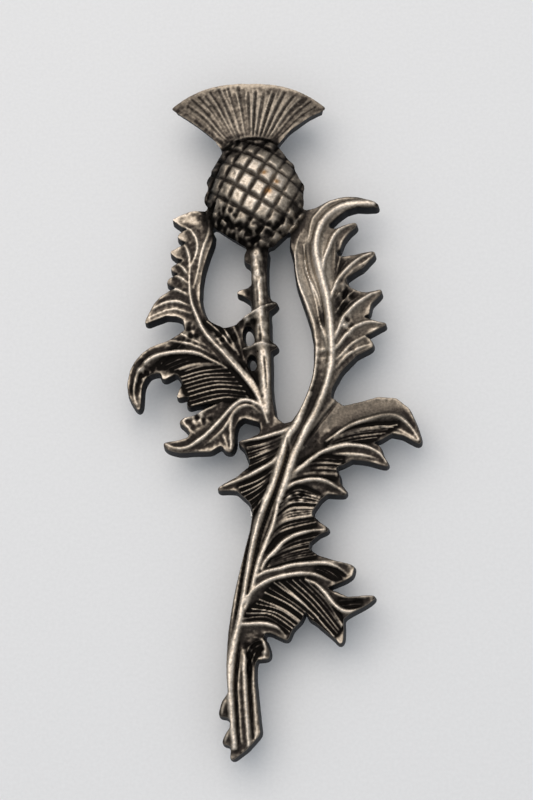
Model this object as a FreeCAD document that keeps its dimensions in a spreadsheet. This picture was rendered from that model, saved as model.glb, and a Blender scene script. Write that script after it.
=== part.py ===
import FreeCAD, Part
import math
import os
from collections import namedtuple

# Thistle kilt pin: a cast brooch, pierced and in relief, with a plain pin back
# under it. It lies face up on the feet of its pin back. +Z is up, +Y runs
# along the brooch towards the plume, and the origin is under the middle of
# its outline, on the surface that it lies on. All sizes are millimetres.

Vector = FreeCAD.Vector
TABLE_LENGTH = 100.0

doc = FreeCAD.newDocument("thistle_kilt_pin")

# Driving dimensions
sheet = doc.addObject("Spreadsheet::Sheet", "Sizes")
DRIVING_SIZES = (
    ("overall_length", 100.0),
    ("back_height", 5.0),
    ("edge_thickness", 2.0),
    ("wall_draft", 0.34),
    ("spare_depth", 0.5),
    ("groove_floor", 0.12),
    ("bulb_rise", 3.3),
    ("scale_rise", 0.35),
    ("collar_rise", 1.1),
    ("rim_rise", 0.35),
    ("floret_rise", 0.6),
    ("floret_count", 18),
    ("foot_width", 8.0),
    ("catch_width", 6.4),
    ("foot_length", 4.5),
    ("seat_gap", 0.05),
    ("hinge_place", 30.0),
    ("catch_place", -13.0),
    ("catch_slot_height", 1.5),
    ("wire_diameter", 1.2),
    ("wire_height", 2.3),
    ("wire_overhang", 3.0),
    ("point_length", 2.5),
    ("pin_slant", 3.0),
    ("pin_offset", -0.85),
)
for line, (alias, value) in enumerate(DRIVING_SIZES, start=1):
    sheet.set("A%d" % line, alias)
    sheet.set("B%d" % line, str(value))
    sheet.setAlias("B%d" % line, alias)
doc.recompute()


def size(alias):
    return float(getattr(sheet, alias))


table_scale = size("overall_length") / TABLE_LENGTH
back_z = size("back_height")
edge_z = back_z + size("edge_thickness")
cast_z = back_z - size("spare_depth")

# A band is a stretch of the casting between two edges: a leaf's body, a lobe
# or a thorn. It has a number of raised ribs, which rise by first_rise at its
# first section and by last_rise at its last one.
Band = namedtuple("Band", "name ribs first_rise last_rise sections")

# Every section of a band is a row of four columns:
# left_x, left_y, right_x, right_y
STEM_BANDS = (
    Band("thistle_stem", 1, 1.5, 1.3, (
        (-4.3, 26.5, 1.0, 26.5),
        (-3.9, 22.9, -0.4, 23.2),
        (-3.15, 20.8, -0.6, 20.8),
        (-3.15, 18.7, -0.55, 18.7),
        (-3.3, 15.9, -0.35, 16.2),
        (-2.9, 13.2, -0.15, 13.2),
        (-2.45, 11.0, -0.1, 11.0),
        (-2.2, 8.0, 0.05, 8.0),
        (-1.95, 5.0, 0.1, 4.8),
        (-1.95, 2.0, 0.15, 1.8),
        (-2.1, -1.0, 0.7, -1.6),
        (-1.9, -3.6, 2.2, -2.6))),
    Band("stem_thorn_left", 1, 0.9, 0.3, (
        (-2.7, 18.9, -2.6, 15.4),
        (-3.5, 18.2, -3.5, 16.1),
        (-4.5, 18.05, -4.3, 16.65),
        (-5.2, 17.5, -5.15, 17.05))),
    Band("stem_thorn_upper", 1, 0.9, 0.3, (
        (-1.0, 17.2, -1.0, 13.8),
        (0.1, 16.1, 0.0, 14.4),
        (0.8, 15.65, 0.75, 15.3))),
    Band("stem_thorn_lower", 1, 0.9, 0.3, (
        (-0.9, 10.6, -0.9, 7.6),
        (0.35, 9.65, 0.2, 8.3),
        (0.85, 9.15, 0.8, 8.85))),
)

LEFT_LEAF_BANDS = (
    Band("left_blade", 3, 0.8, 1.2, (
        (-12.6, 29.0, -8.4, 29.3),
        (-12.8, 27.2, -8.3, 27.4),
        (-12.9, 25.1, -8.5, 25.2),
        (-13.2, 22.7, -9.3, 22.9),
        (-13.8, 20.4, -9.95, 20.6),
        (-14.4, 18.4, -10.25, 18.4),
        (-14.2, 16.3, -10.3, 16.4),
        (-13.5, 14.2, -9.95, 14.9),
        (-13.0, 12.4, -9.4, 13.7),
        (-13.0, 10.2, -8.2, 12.5),
        (-12.0, 8.0, -7.0, 10.5))),
    Band("left_top_lobe", 2, 1.0, 0.4, (
        (-8.6, 30.0, -8.4, 27.2),
        (-10.5, 30.25, -10.3, 26.9),
        (-12.0, 30.3, -12.1, 26.9),
        (-13.5, 29.75, -13.3, 27.4),
        (-14.5, 29.15, -14.3, 28.3),
        (-14.95, 28.95, -14.85, 28.65))),
    Band("left_bump_1", 1, 0.7, 0.3, (
        (-11.8, 27.6, -11.8, 24.9),
        (-13.3, 27.2, -13.2, 25.2),
        (-13.9, 26.5, -13.85, 25.8))),
    Band("left_bump_2", 1, 0.9, 0.3, (
        (-12.0, 25.6, -12.4, 22.2),
        (-13.5, 24.9, -14.0, 22.5),
        (-14.35, 24.4, -14.65, 23.05),
        (-15.0, 24.0, -15.0, 23.65))),
    Band("left_bump_3", 1, 0.7, 0.3, (
        (-12.8, 22.8, -13.2, 20.0),
        (-14.4, 22.0, -14.55, 20.5),
        (-14.85, 21.45, -14.8, 21.0))),
    Band("left_bump_4", 1, 0.7, 0.3, (
        (-13.2, 20.8, -13.6, 17.8),
        (-14.9, 20.1, -15.15, 18.5),
        (-15.35, 19.45, -15.35, 19.0))),
    Band("left_spike", 3, 0.9, 0.3, (
        (-13.0, 18.6, -12.2, 12.9),
        (-15.0, 18.15, -13.9, 13.65),
        (-16.5, 17.2, -15.4, 13.8),
        (-17.4, 16.1, -16.6, 13.35),
        (-18.1, 14.7, -17.6, 13.0),
        (-18.75, 13.2, -18.3, 12.85))),
    Band("left_web", 5, 0.8, 0.5, (
        (-14.0, 11.2, -13.7, 5.05),
        (-12.8, 12.0, -12.6, 3.2),
        (-10.6, 13.4, -11.0, 1.6),
        (-9.0, 13.25, -9.4, 0.6),
        (-7.1, 12.3, -7.6, 0.6),
        (-5.5, 12.6, -5.6, 0.8),
        (-4.3, 13.3, -3.7, 1.0),
        (-4.15, 13.4, -3.4, 1.0))),
    Band("window_tendril", 1, 0.7, 1.0, (
        (-5.5, 12.65, -5.0, 11.6),
        (-3.9, 13.8, -3.5, 12.2),
        (-2.2, 14.8, -2.0, 12.9))),
    Band("hole_tendril", 1, 0.7, 1.0, (
        (-4.7, 9.3, -4.5, 7.6),
        (-3.2, 9.5, -3.0, 7.9),
        (-1.6, 9.9, -1.5, 8.4))),
    Band("junction_web", 3, 0.7, 0.9, (
        (-5.0, 6.0, -5.0, 0.4),
        (-3.2, 5.7, -3.3, -1.5),
        (-1.6, 5.6, -1.5, -2.6))),
    Band("hook", 3, 0.9, 0.6, (
        (-12.4, 11.6, -12.2, 4.9),
        (-14.0, 11.2, -13.8, 5.05),
        (-15.2, 10.5, -15.0, 5.0),
        (-16.5, 10.1, -16.4, 5.3),
        (-17.8, 9.6, -17.3, 5.2),
        (-19.0, 8.7, -18.0, 4.8),
        (-20.0, 7.6, -18.4, 4.1),
        (-20.8, 6.1, -18.65, 3.4),
        (-21.21, 4.2, -18.7, 2.6),
        (-21.1, 2.6, -18.7, 1.7),
        (-20.5, 1.2, -18.75, 0.9),
        (-19.6, 0.0, -18.9, 0.0))),
    Band("tooth_1", 1, 0.7, 0.3, (
        (-16.9, 6.4, -12.8, 6.4),
        (-16.35, 5.2, -14.2, 5.05),
        (-16.1, 4.55, -15.4, 4.5))),
    Band("tooth_2", 1, 0.7, 0.3, (
        (-12.6, 5.2, -10.6, 2.2),
        (-13.3, 3.8, -12.0, 1.75),
        (-13.95, 1.9, -13.4, 1.6))),
    Band("tooth_3", 2, 0.7, 0.3, (
        (-12.0, 2.6, -8.6, 1.4),
        (-12.6, 1.0, -10.0, 0.4),
        (-12.35, 0.05, -11.5, 0.0))),
    Band("left_subleaf", 2, 0.9, 0.3, (
        (-2.4, 2.0, -1.9, -2.4),
        (-4.2, 2.0, -4.1, -1.75),
        (-5.6, 1.9, -4.9, -2.3),
        (-7.4, 1.4, -5.25, -3.3),
        (-9.6, 0.2, -5.4, -5.0),
        (-10.9, -0.9, -7.4, -5.75),
        (-11.6, -2.6, -8.6, -6.5),
        (-12.3, -4.0, -10.4, -6.5),
        (-13.8, -4.4, -13.2, -6.7),
        (-15.0, -4.55, -14.9, -6.25),
        (-15.75, -4.9, -15.6, -5.4))),
    Band("subleaf_spur", 2, 0.7, 0.3, (
        (-8.6, 0.6, -10.4, -4.6),
        (-10.4, -0.1, -11.9, -3.8),
        (-12.1, -0.6, -12.6, -2.9),
        (-13.35, -1.75, -13.3, -2.15))),
    Band("subleaf_drop", 1, 0.7, 0.3, (
        (-8.0, -3.6, -5.2, -3.2),
        (-7.5, -5.6, -5.1, -5.2),
        (-6.9, -6.35, -5.5, -6.4))),
)

RIGHT_LEAF_BANDS = (
    Band("right_blade", 4, 1.0, 1.3, (
        (2.9, 29.3, 8.3, 30.0),
        (2.4, 26.6, 8.6, 27.0),
        (2.45, 24.3, 9.5, 24.4),
        (3.0, 22.4, 9.7, 22.5),
        (3.15, 20.4, 10.6, 20.4),
        (3.5, 18.2, 11.2, 18.2),
        (4.1, 16.3, 12.0, 16.6),
        (4.9, 13.9, 13.2, 14.2),
        (5.5, 11.9, 13.8, 12.2),
        (5.9, 9.6, 13.6, 9.8),
        (5.9, 7.0, 12.4, 7.5),
        (5.7, 4.9, 10.2, 5.2),
        (5.1, 2.7, 8.8, 2.6),
        (4.4, 0.8, 8.6, 1.0),
        (3.5, -1.0, 9.0, -0.8),
        (2.4, -2.4, 9.0, -3.2))),
    Band("right_top_lobe", 2, 1.0, 0.4, (
        (3.9, 29.6, 7.2, 26.6),
        (6.2, 30.15, 8.7, 27.3),
        (8.2, 31.2, 9.6, 28.25),
        (10.2, 31.75, 11.0, 29.3),
        (12.5, 31.75, 12.4, 29.7),
        (14.8, 31.0, 14.6, 29.6),
        (15.75, 30.35, 15.6, 29.75))),
    Band("right_lobe_2", 2, 0.9, 0.3, (
        (7.2, 27.4, 8.4, 22.4),
        (9.4, 26.9, 9.9, 23.2),
        (10.3, 27.3, 10.3, 24.6),
        (11.2, 27.6, 11.2, 25.8),
        (12.1, 27.8, 12.6, 27.0))),
    Band("right_lobe_3", 2, 0.9, 0.3, (
        (8.2, 23.0, 10.2, 18.4),
        (10.4, 22.65, 12.2, 19.8),
        (12.2, 22.9, 13.2, 20.35),
        (13.4, 23.2, 14.1, 21.3),
        (14.6, 23.25, 15.25, 22.6))),
    Band("right_lobe_4", 2, 0.9, 0.3, (
        (10.2, 18.6, 12.0, 12.6),
        (12.4, 17.3, 14.1, 13.3),
        (13.6, 17.1, 14.35, 14.8),
        (14.8, 17.3, 15.3, 15.8),
        (15.6, 17.45, 16.2, 16.8))),
    Band("right_lobe_5", 1, 0.9, 0.3, (
        (11.8, 14.0, 12.0, 9.6),
        (14.3, 13.0, 14.2, 10.5),
        (15.5, 12.6, 15.4, 11.2),
        (16.3, 12.4, 16.75, 11.9))),
    Band("right_lobe_6", 2, 0.8, 0.3, (
        (11.6, 11.4, 10.4, 6.4),
        (14.2, 10.2, 12.6, 7.55),
        (14.75, 9.1, 14.2, 8.45))),
)

MAIN_LEAF_BANDS = (
    Band("main_blade", 4, 1.3, 1.3, (
        (-1.8, -3.1, 8.9, -1.3),
        (-3.0, -6.0, 9.6, -4.4),
        (-3.5, -8.0, 9.5, -7.6),
        (-3.7, -10.4, 9.3, -10.4),
        (-3.6, -13.2, 7.4, -13.0),
        (-3.0, -15.2, 5.9, -15.2),
        (-3.4, -17.8, 5.7, -17.8),
        (-4.0, -20.2, 5.4, -20.2),
        (-4.5, -22.4, 5.6, -23.0),
        (-5.1, -24.8, 5.2, -26.0),
        (-5.65, -27.4, 4.8, -28.6),
        (-6.05, -29.8, 3.6, -30.6),
        (-6.35, -32.2, 0.4, -32.4))),
    Band("main_spike_1", 1, 1.0, 0.3, (
        (0.2, -2.6, -1.6, -9.0),
        (-1.8, -3.7, -3.45, -7.8),
        (-3.2, -4.35, -3.9, -6.4),
        (-4.9, -4.85, -4.8, -5.25))),
    Band("main_spike_2", 2, 1.0, 0.3, (
        (-1.6, -7.6, -1.6, -15.6),
        (-3.6, -8.6, -3.5, -13.8),
        (-4.9, -9.8, -5.0, -12.35),
        (-6.8, -10.75, -6.6, -12.3),
        (-7.9, -11.6, -7.7, -12.2))),
    Band("big_lobe", 3, 1.0, 0.4, (
        (6.6, 1.2, 7.0, -6.2),
        (8.6, 1.45, 9.4, -6.0),
        (10.1, 0.25, 11.0, -6.0),
        (12.6, 0.8, 13.4, -6.0),
        (15.2, 1.5, 15.4, -5.3),
        (17.8, 1.25, 16.9, -4.35),
        (19.6, -0.3, 18.6, -4.75),
        (20.5, -2.5, 20.0, -5.55),
        (21.0, -4.1, 20.7, -5.95),
        (21.21, -5.1, 21.0, -5.95))),
    Band("middle_lobe", 2, 1.0, 0.3, (
        (6.6, -3.6, 7.6, -9.4),
        (9.2, -3.8, 9.9, -8.9),
        (11.2, -4.4, 11.4, -8.1),
        (13.6, -4.8, 13.6, -8.4),
        (15.3, -5.7, 14.8, -8.8),
        (15.7, -7.1, 15.7, -9.05),
        (16.55, -8.6, 16.45, -9.1))),
    Band("short_lobe", 1, 0.9, 0.3, (
        (5.6, -8.0, 5.6, -14.6),
        (9.6, -9.6, 7.6, -13.0),
        (9.6, -11.0, 9.3, -13.2),
        (10.5, -12.5, 10.7, -13.1))),
    Band("lower_lobe_1", 2, 0.9, 0.3, (
        (3.8, -14.4, 3.8, -21.0),
        (5.9, -15.8, 5.5, -19.7),
        (6.7, -16.6, 6.5, -18.85),
        (7.75, -17.55, 8.05, -18.15))),
    Band("lower_lobe_2", 3, 0.9, 0.4, (
        (3.8, -19.4, 4.4, -27.6),
        (6.3, -21.3, 7.0, -26.8),
        (9.0, -22.2, 8.9, -25.95),
        (10.3, -22.45, 10.4, -25.35),
        (11.55, -22.9, 11.1, -24.8))),
    Band("lower_lobe_3", 3, 0.9, 0.4, (
        (5.0, -25.0, 5.4, -31.0),
        (8.8, -26.5, 8.9, -31.6),
        (10.5, -27.3, 10.5, -30.35),
        (12.0, -27.2, 12.1, -29.5),
        (13.4, -27.05, 13.3, -28.85),
        (14.5, -27.3, 14.3, -27.9))),
    Band("lower_lobe_4", 3, 0.9, 0.4, (
        (3.0, -27.4, 9.4, -26.8),
        (5.0, -30.3, 10.1, -30.4),
        (6.9, -31.9, 10.2, -32.0),
        (8.5, -33.3, 10.15, -33.3),
        (9.3, -34.1, 9.8, -34.0))),
    Band("lower_lobe_5", 2, 0.9, 0.4, (
        (-2.6, -29.0, 5.0, -29.2),
        (-1.0, -32.2, 4.2, -30.7),
        (0.3, -32.9, 3.0, -31.8),
        (1.85, -33.45, 2.25, -33.3))),
    Band("cut_stem", 3, 1.2, 0.7, (
        (-6.1, -30.4, 0.2, -30.6),
        (-6.4, -32.4, -0.8, -32.4),
        (-6.5, -34.4, -1.4, -34.6),
        (-6.6, -36.8, -2.2, -36.9),
        (-6.5, -39.0, -2.2, -39.0),
        (-6.3, -41.0, -2.0, -41.0),
        (-6.1, -44.0, -1.7, -44.0),
        (-5.95, -46.2, -1.42, -46.4),
        (-5.95, -48.4, -3.3, -48.5),
        (-5.9, -50.0, -5.4, -49.8))),
    Band("cut_stem_thorn_1", 1, 0.7, 0.3, (
        (-5.4, -39.8, -5.2, -45.2),
        (-6.4, -40.9, -6.2, -44.3),
        (-6.95, -41.6, -6.75, -44.25),
        (-7.35, -43.2, -7.4, -44.2))),
    Band("cut_stem_thorn_2", 1, 0.7, 0.3, (
        (-5.2, -44.6, -5.2, -48.7),
        (-6.25, -45.8, -6.1, -48.1),
        (-6.75, -47.0, -6.95, -48.0))),
    Band("cut_stem_lug", 1, 0.7, 0.3, (
        (-3.0, -33.0, -3.0, -36.4),
        (-1.0, -33.2, -1.0, -36.35),
        (-0.45, -34.8, -0.5, -36.25))),
)

# Rows of the bulb from its collar down: y, left_x, right_x
BULB_ROWS = (
    (40.5, -5.9, 0.0),
    (39.2, -7.0, 1.3),
    (37.6, -8.3, 2.6),
    (35.9, -9.25, 3.7),
    (34.1, -9.65, 4.5),
    (32.3, -9.85, 4.95),
    (30.5, -9.85, 5.05),
    (28.7, -9.4, 4.7),
    (27.0, -8.6, 3.7),
    (25.4, -6.3, 2.2),
    (23.9, -3.9, 0.6),
)
BULB_COLUMNS = 10

# Rows of the plume from under the bulb out to its rim: left_x, left_y,
# middle_y, right_x, right_y, and which share of the collar's rise it keeps
PLUME_ROWS = (
    (-6.6, 37.4, 38.0, 0.2, 38.0, 1.0),
    (-7.5, 39.0, 40.6, 1.1, 39.6, 1.0),
    (-9.1, 41.2, 43.6, 3.1, 42.0, 0.75),
    (-11.8, 43.5, 46.8, 6.0, 44.1, 0.4),
    (-14.6, 45.5, 49.2, 7.9, 45.0, 0.1),
    (-15.3, 46.4, 50.0, 8.35, 45.7, 0.0),
)
PLUME_ARC_POWER = 2.6


# A closed faceted solid with a relief on top, walls with draft and a flat base
def relief_solid(crown, base):
    rows = len(crown)
    columns = len(crown[0])
    faces = []
    for row in range(rows - 1):
        for column in range(columns - 1):
            near_left = crown[row][column]
            near_right = crown[row][column + 1]
            far_left = crown[row + 1][column]
            far_right = crown[row + 1][column + 1]
            if (row + column) % 2 == 0:
                faces.append(facet(near_left, near_right, far_left))
                faces.append(facet(near_right, far_right, far_left))
            else:
                faces.append(facet(near_left, near_right, far_right))
                faces.append(facet(near_left, far_right, far_left))
    edge = outline_places(rows, columns)
    for here, (row, column) in enumerate(edge):
        next_row, next_column = edge[(here + 1) % len(edge)]
        top_here = crown[row][column]
        top_next = crown[next_row][next_column]
        foot_here = base[row][column]
        foot_next = base[next_row][next_column]
        faces.append(facet(top_here, foot_here, foot_next))
        faces.append(facet(top_here, foot_next, top_next))
    corners = [base[row][column] for row, column in edge]
    faces.append(Part.Face(Part.makePolygon(corners + corners[:1])))
    shell = Part.Shell(faces)
    solid = Part.Solid(shell)
    if solid.Volume < 0.0:
        solid.reverse()
    if not shell.isClosed() or not solid.isValid():
        raise ValueError("a relief solid isn't closed")
    return solid


def facet(first, second, third):
    return Part.Face(Part.makePolygon([first, second, third, first]))


def outline_places(rows, columns):
    near = [(0, column) for column in range(columns)]
    right = [(row, columns - 1) for row in range(1, rows)]
    far = [(rows - 1, column) for column in range(columns - 2, -1, -1)]
    left = [(row, 0) for row in range(rows - 2, 0, -1)]
    return near + right + far + left


# One band: its crown is inset by the draft, and its ribs run lengthwise
def band_solid(band):
    columns = 2 * band.ribs + 1
    last = len(band.sections) - 1
    crown = []
    base = []
    for row, (left_x, left_y, right_x, right_y) in enumerate(band.sections):
        along = row / last
        rise = band.first_rise + (band.last_rise - band.first_rise) * along
        left = Vector(left_x, left_y, 0.0) * table_scale
        right = Vector(right_x, right_y, 0.0) * table_scale
        width = (right - left).Length
        inset = min(size("wall_draft"), 0.3 * width) / width
        crown.append([])
        base.append([])
        for column in range(columns):
            across = column / (columns - 1)
            foot = left + (right - left) * across
            top = left + (right - left) * (inset + (1.0 - 2.0 * inset) * across)
            if column % 2:
                height = rise
            elif column in (0, columns - 1):
                height = 0.0
            else:
                height = size("groove_floor") * rise
            base[-1].append(Vector(foot.x, foot.y, cast_z))
            crown[-1].append(Vector(top.x, top.y, edge_z + height))
    return relief_solid(crown, base)


# The bulb: a dome of overlapping scales, each a low pyramid on a diamond
def bulb_solid():
    last = len(BULB_ROWS) - 1
    middle_y = 0.5 * (BULB_ROWS[0][0] + BULB_ROWS[-1][0])
    half_height = BULB_ROWS[0][0] - middle_y
    crown = []
    base = []
    for row, (y, left_x, right_x) in enumerate(BULB_ROWS):
        up = (y - middle_y) / (1.06 * half_height)
        crown.append([])
        base.append([])
        for column in range(BULB_COLUMNS + 1):
            across = 2.0 * column / BULB_COLUMNS - 1.0
            dome = math.sqrt(max(0.0, (1.0 - across ** 2) * (1.0 - up ** 2)))
            x = 0.5 * (left_x + right_x) + 0.5 * (right_x - left_x) * across
            inset = size("wall_draft") * across
            height = size("bulb_rise") * dome
            inside = 0 < column < BULB_COLUMNS and 0 < row < last
            if inside and (row + column) % 2 == 0:
                height += size("scale_rise")
            place = Vector(x, y, 0.0) * table_scale
            base[-1].append(Vector(place.x, place.y, cast_z))
            crown[-1].append(Vector(place.x - inset, place.y, edge_z + height))
    return relief_solid(crown, base)


# The plume: florets that fan out from the bulb's collar to a plain rim
def plume_solid():
    columns = 2 * int(size("floret_count")) + 1
    crown = []
    base = []
    for left_x, left_y, middle_y, right_x, right_y, collar_share in PLUME_ROWS:
        crown.append([])
        base.append([])
        rise = size("collar_rise") * collar_share + size("rim_rise")
        plain = collar_share in (PLUME_ROWS[0][-1], PLUME_ROWS[-1][-1])
        for column in range(columns):
            across = 2.0 * column / (columns - 1) - 1.0
            x = 0.5 * (left_x + right_x) + 0.5 * (right_x - left_x) * across
            chord_y = 0.5 * (left_y + right_y) + 0.5 * (right_y - left_y) * across
            sag = middle_y - 0.5 * (left_y + right_y)
            y = chord_y + sag * (1.0 - abs(across) ** PLUME_ARC_POWER)
            height = rise
            if column % 2 and not plain:
                height += size("floret_rise")
            place = Vector(x, y, 0.0) * table_scale
            inset = size("wall_draft") * across
            base[-1].append(Vector(place.x, place.y, cast_z))
            crown[-1].append(Vector(place.x - inset, place.y, edge_z + height))
    draft = Vector(0.0, -size("wall_draft"), 0.0)
    crown[-1] = [point + draft for point in crown[-1]]
    return relief_solid(crown, base)


def add_region(name, solids):
    region = doc.addObject("Part::Feature", name)
    whole = solids[0]
    if len(solids) > 1:
        whole = solids[0].multiFuse(solids[1:])
    region.Shape = whole
    print(name, len(solids), "solids, fused", len(whole.Solids), round(whole.Volume, 1))
    return region


regions = [
    add_region("Bulb", [bulb_solid()]),
    add_region("Plume", [plume_solid()]),
    add_region("Stem", [band_solid(band) for band in STEM_BANDS]),
    add_region("LeftLeaf", [band_solid(band) for band in LEFT_LEAF_BANDS]),
    add_region("RightLeaf", [band_solid(band) for band in RIGHT_LEAF_BANDS]),
    add_region("MainLeaf", [band_solid(band) for band in MAIN_LEAF_BANDS]),
]
pattern = doc.addObject("Part::MultiFuse", "Pattern")
pattern.Shapes = regions

# What lies below the flat back is cut away
waste = doc.addObject("Part::Box", "Waste")
waste.setExpression("Length", "Sizes.overall_length")
waste.setExpression("Width", "Sizes.overall_length * 1.2")
waste.setExpression("Height", "Sizes.back_height")
waste.setExpression(".Placement.Base.x", "-Sizes.overall_length / 2")
waste.setExpression(".Placement.Base.y", "-Sizes.overall_length * 0.6")
casting = doc.addObject("Part::Cut", "Casting")
casting.Label = "thistle_casting"
casting.Base = pattern
casting.Tool = waste
casting.Refine = True

# The pin back: hinge block, pin and catch in one plain piece, made along its
# own Y axis and turned a little to lie hidden behind the thistle's stem
hinge = doc.addObject("Part::Box", "HingeBlock")
hinge.setExpression("Length", "Sizes.foot_width")
hinge.setExpression("Width", "Sizes.foot_length")
hinge.setExpression("Height", "Sizes.back_height - Sizes.seat_gap")
hinge.setExpression(".Placement.Base.x", "-Sizes.foot_width / 2")
hinge.setExpression(".Placement.Base.y", "Sizes.hinge_place - Sizes.foot_length / 2")

catch_block = doc.addObject("Part::Box", "CatchBlock")
catch_block.setExpression("Length", "Sizes.catch_width")
catch_block.setExpression("Width", "Sizes.foot_length")
catch_block.setExpression("Height", "Sizes.back_height - Sizes.seat_gap")
catch_block.setExpression(".Placement.Base.x", "-Sizes.catch_width / 2")
catch_block.setExpression(".Placement.Base.y", "Sizes.catch_place - Sizes.foot_length / 2")

slot = doc.addObject("Part::Box", "CatchSlot")
slot.setExpression("Length", "Sizes.catch_width")
slot.setExpression("Width", "Sizes.foot_length * 2")
slot.setExpression("Height", "Sizes.catch_slot_height")
slot.setExpression(".Placement.Base.x", "Sizes.wire_diameter * 0.2")
slot.setExpression(".Placement.Base.y", "Sizes.catch_place - Sizes.foot_length")
slot.setExpression(".Placement.Base.z", "Sizes.wire_height - Sizes.catch_slot_height / 2")
catch = doc.addObject("Part::Cut", "Catch")
catch.Base = catch_block
catch.Tool = slot

along_y = FreeCAD.Rotation(Vector(1, 0, 0), 90)
wire = doc.addObject("Part::Cylinder", "PinWire")
wire.Placement.Rotation = along_y
wire.setExpression("Radius", "Sizes.wire_diameter / 2")
wire.setExpression(
    "Height",
    "Sizes.hinge_place - Sizes.catch_place + Sizes.foot_length / 2 + Sizes.wire_overhang")
wire.setExpression(".Placement.Base.y", "Sizes.hinge_place")
wire.setExpression(".Placement.Base.z", "Sizes.wire_height")

point = doc.addObject("Part::Cone", "PinPoint")
point.Placement.Rotation = along_y
point.setExpression("Radius1", "Sizes.wire_diameter / 2")
point.setExpression("Radius2", "Sizes.wire_diameter / 12")
point.setExpression("Height", "Sizes.point_length")
point.setExpression(
    ".Placement.Base.y",
    "Sizes.catch_place - Sizes.foot_length / 2 - Sizes.wire_overhang")
point.setExpression(".Placement.Base.z", "Sizes.wire_height")

pin_back = doc.addObject("Part::MultiFuse", "PinBack")
pin_back.Label = "pin_back"
pin_back.Shapes = [hinge, catch, wire, point]
doc.recompute()
pin_back.Placement = FreeCAD.Placement(
    Vector(size("pin_offset"), 0.0, 0.0),
    FreeCAD.Rotation(Vector(0, 0, 1), size("pin_slant")))
doc.recompute()

for item in doc.Objects:
    if "Invalid" in item.State or "Error" in item.State:
        raise ValueError("%s has not been made" % item.Name)

os.makedirs("parts", exist_ok=True)
for part in (casting, pin_back):
    shape = part.Shape
    if shape.isNull() or not shape.isValid() or len(shape.Solids) != 1:
        raise ValueError("%s isn't one valid solid" % part.Label)
    box = shape.BoundBox
    print(part.Label, "volume", round(shape.Volume, 2), "faces", len(shape.Faces))
    print("  x", round(box.XMin, 3), round(box.XMax, 3),
          "y", round(box.YMin, 3), round(box.YMax, 3),
          "z", round(box.ZMin, 3), round(box.ZMax, 3))
    shape.exportStep("parts/%s.step" % part.Label)
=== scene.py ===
import math

import bpy
import bmesh
import numpy as np
from mathutils import Matrix, Vector


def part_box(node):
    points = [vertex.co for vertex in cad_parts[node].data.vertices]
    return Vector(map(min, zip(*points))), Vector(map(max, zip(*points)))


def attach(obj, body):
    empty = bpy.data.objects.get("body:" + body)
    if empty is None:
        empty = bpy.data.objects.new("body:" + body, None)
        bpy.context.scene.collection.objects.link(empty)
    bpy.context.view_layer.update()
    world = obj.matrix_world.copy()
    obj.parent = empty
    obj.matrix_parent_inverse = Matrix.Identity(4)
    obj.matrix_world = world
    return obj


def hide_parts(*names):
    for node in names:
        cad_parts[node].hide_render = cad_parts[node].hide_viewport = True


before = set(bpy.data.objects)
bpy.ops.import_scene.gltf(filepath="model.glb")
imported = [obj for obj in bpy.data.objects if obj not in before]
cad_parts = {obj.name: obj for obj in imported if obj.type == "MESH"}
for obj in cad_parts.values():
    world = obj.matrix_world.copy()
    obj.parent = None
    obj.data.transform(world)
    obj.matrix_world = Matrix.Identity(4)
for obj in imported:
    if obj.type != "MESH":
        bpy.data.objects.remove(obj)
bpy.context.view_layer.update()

# A thistle kilt pin in antiqued pewter, face up on a pale table.
# The brooch is made the way it is cast: ribs, scales and pits are modelled as a
# loose pattern, and one closed skin is then pressed over them and the CAD body.

mm = 0.001
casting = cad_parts["thistle_casting"]
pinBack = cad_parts["pin_back"]


# helpers
def hexColor(text):
    channels = [int(text[i:i + 2], 16) / 255 for i in (1, 3, 5)]
    linear = [c / 12.92 if c <= 0.04045 else ((c + 0.055) / 1.055) ** 2.4 for c in channels]
    return (*linear, 1.0)


def addObject(name, data):
    piece = bpy.data.objects.new(name, data)
    bpy.context.scene.collection.objects.link(piece)
    return piece


def plateMesh(name, low, high):
    # a flat rectangle between two corners, in metres
    mesh = bpy.data.meshes.new(name)
    mesh.from_pydata([(low[0], low[1], 0), (high[0], low[1], 0), (high[0], high[1], 0),
                      (low[0], high[1], 0)], [], [(0, 1, 2, 3)])
    return mesh


def addNode(tree, kind, settings=None, inputs=None, stops=()):
    # a node with its settings, its inputs as values or links, and a colour ramp's stops
    node = tree.nodes.new(kind)
    for name, value in (settings or {}).items():
        setattr(node, name, value)
    for key, value in (inputs or {}).items():
        if isinstance(value, bpy.types.NodeSocket):
            tree.links.new(value, node.inputs[key])
        else:
            node.inputs[key].default_value = value
    if stops:
        elements = node.color_ramp.elements
        while len(elements) < len(stops):
            elements.new(1.0)
        for element, (place, color) in zip(elements, stops):
            element.position = place
            element.color = hexColor(color)
    return node


def newTree(name, sockets):
    # a Geometry Nodes group with a mesh in, a mesh out and named inputs
    tree = bpy.data.node_groups.new(name, "GeometryNodeTree")
    tree.interface.new_socket("Geometry", in_out="INPUT", socket_type="NodeSocketGeometry")
    for label, kind in sockets:
        tree.interface.new_socket(label, in_out="INPUT", socket_type="NodeSocket" + kind)
    tree.interface.new_socket("Geometry", in_out="OUTPUT", socket_type="NodeSocketGeometry")
    return tree, tree.nodes.new("NodeGroupInput").outputs


def finishTree(tree, geometry, material):
    realized = addNode(tree, "GeometryNodeRealizeInstances", None, {0: geometry})
    painted = addNode(tree, "GeometryNodeSetMaterial", None,
                      {0: realized.outputs[0], "Material": material})
    addNode(tree, "NodeGroupOutput", None, {0: painted.outputs[0]})


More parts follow.
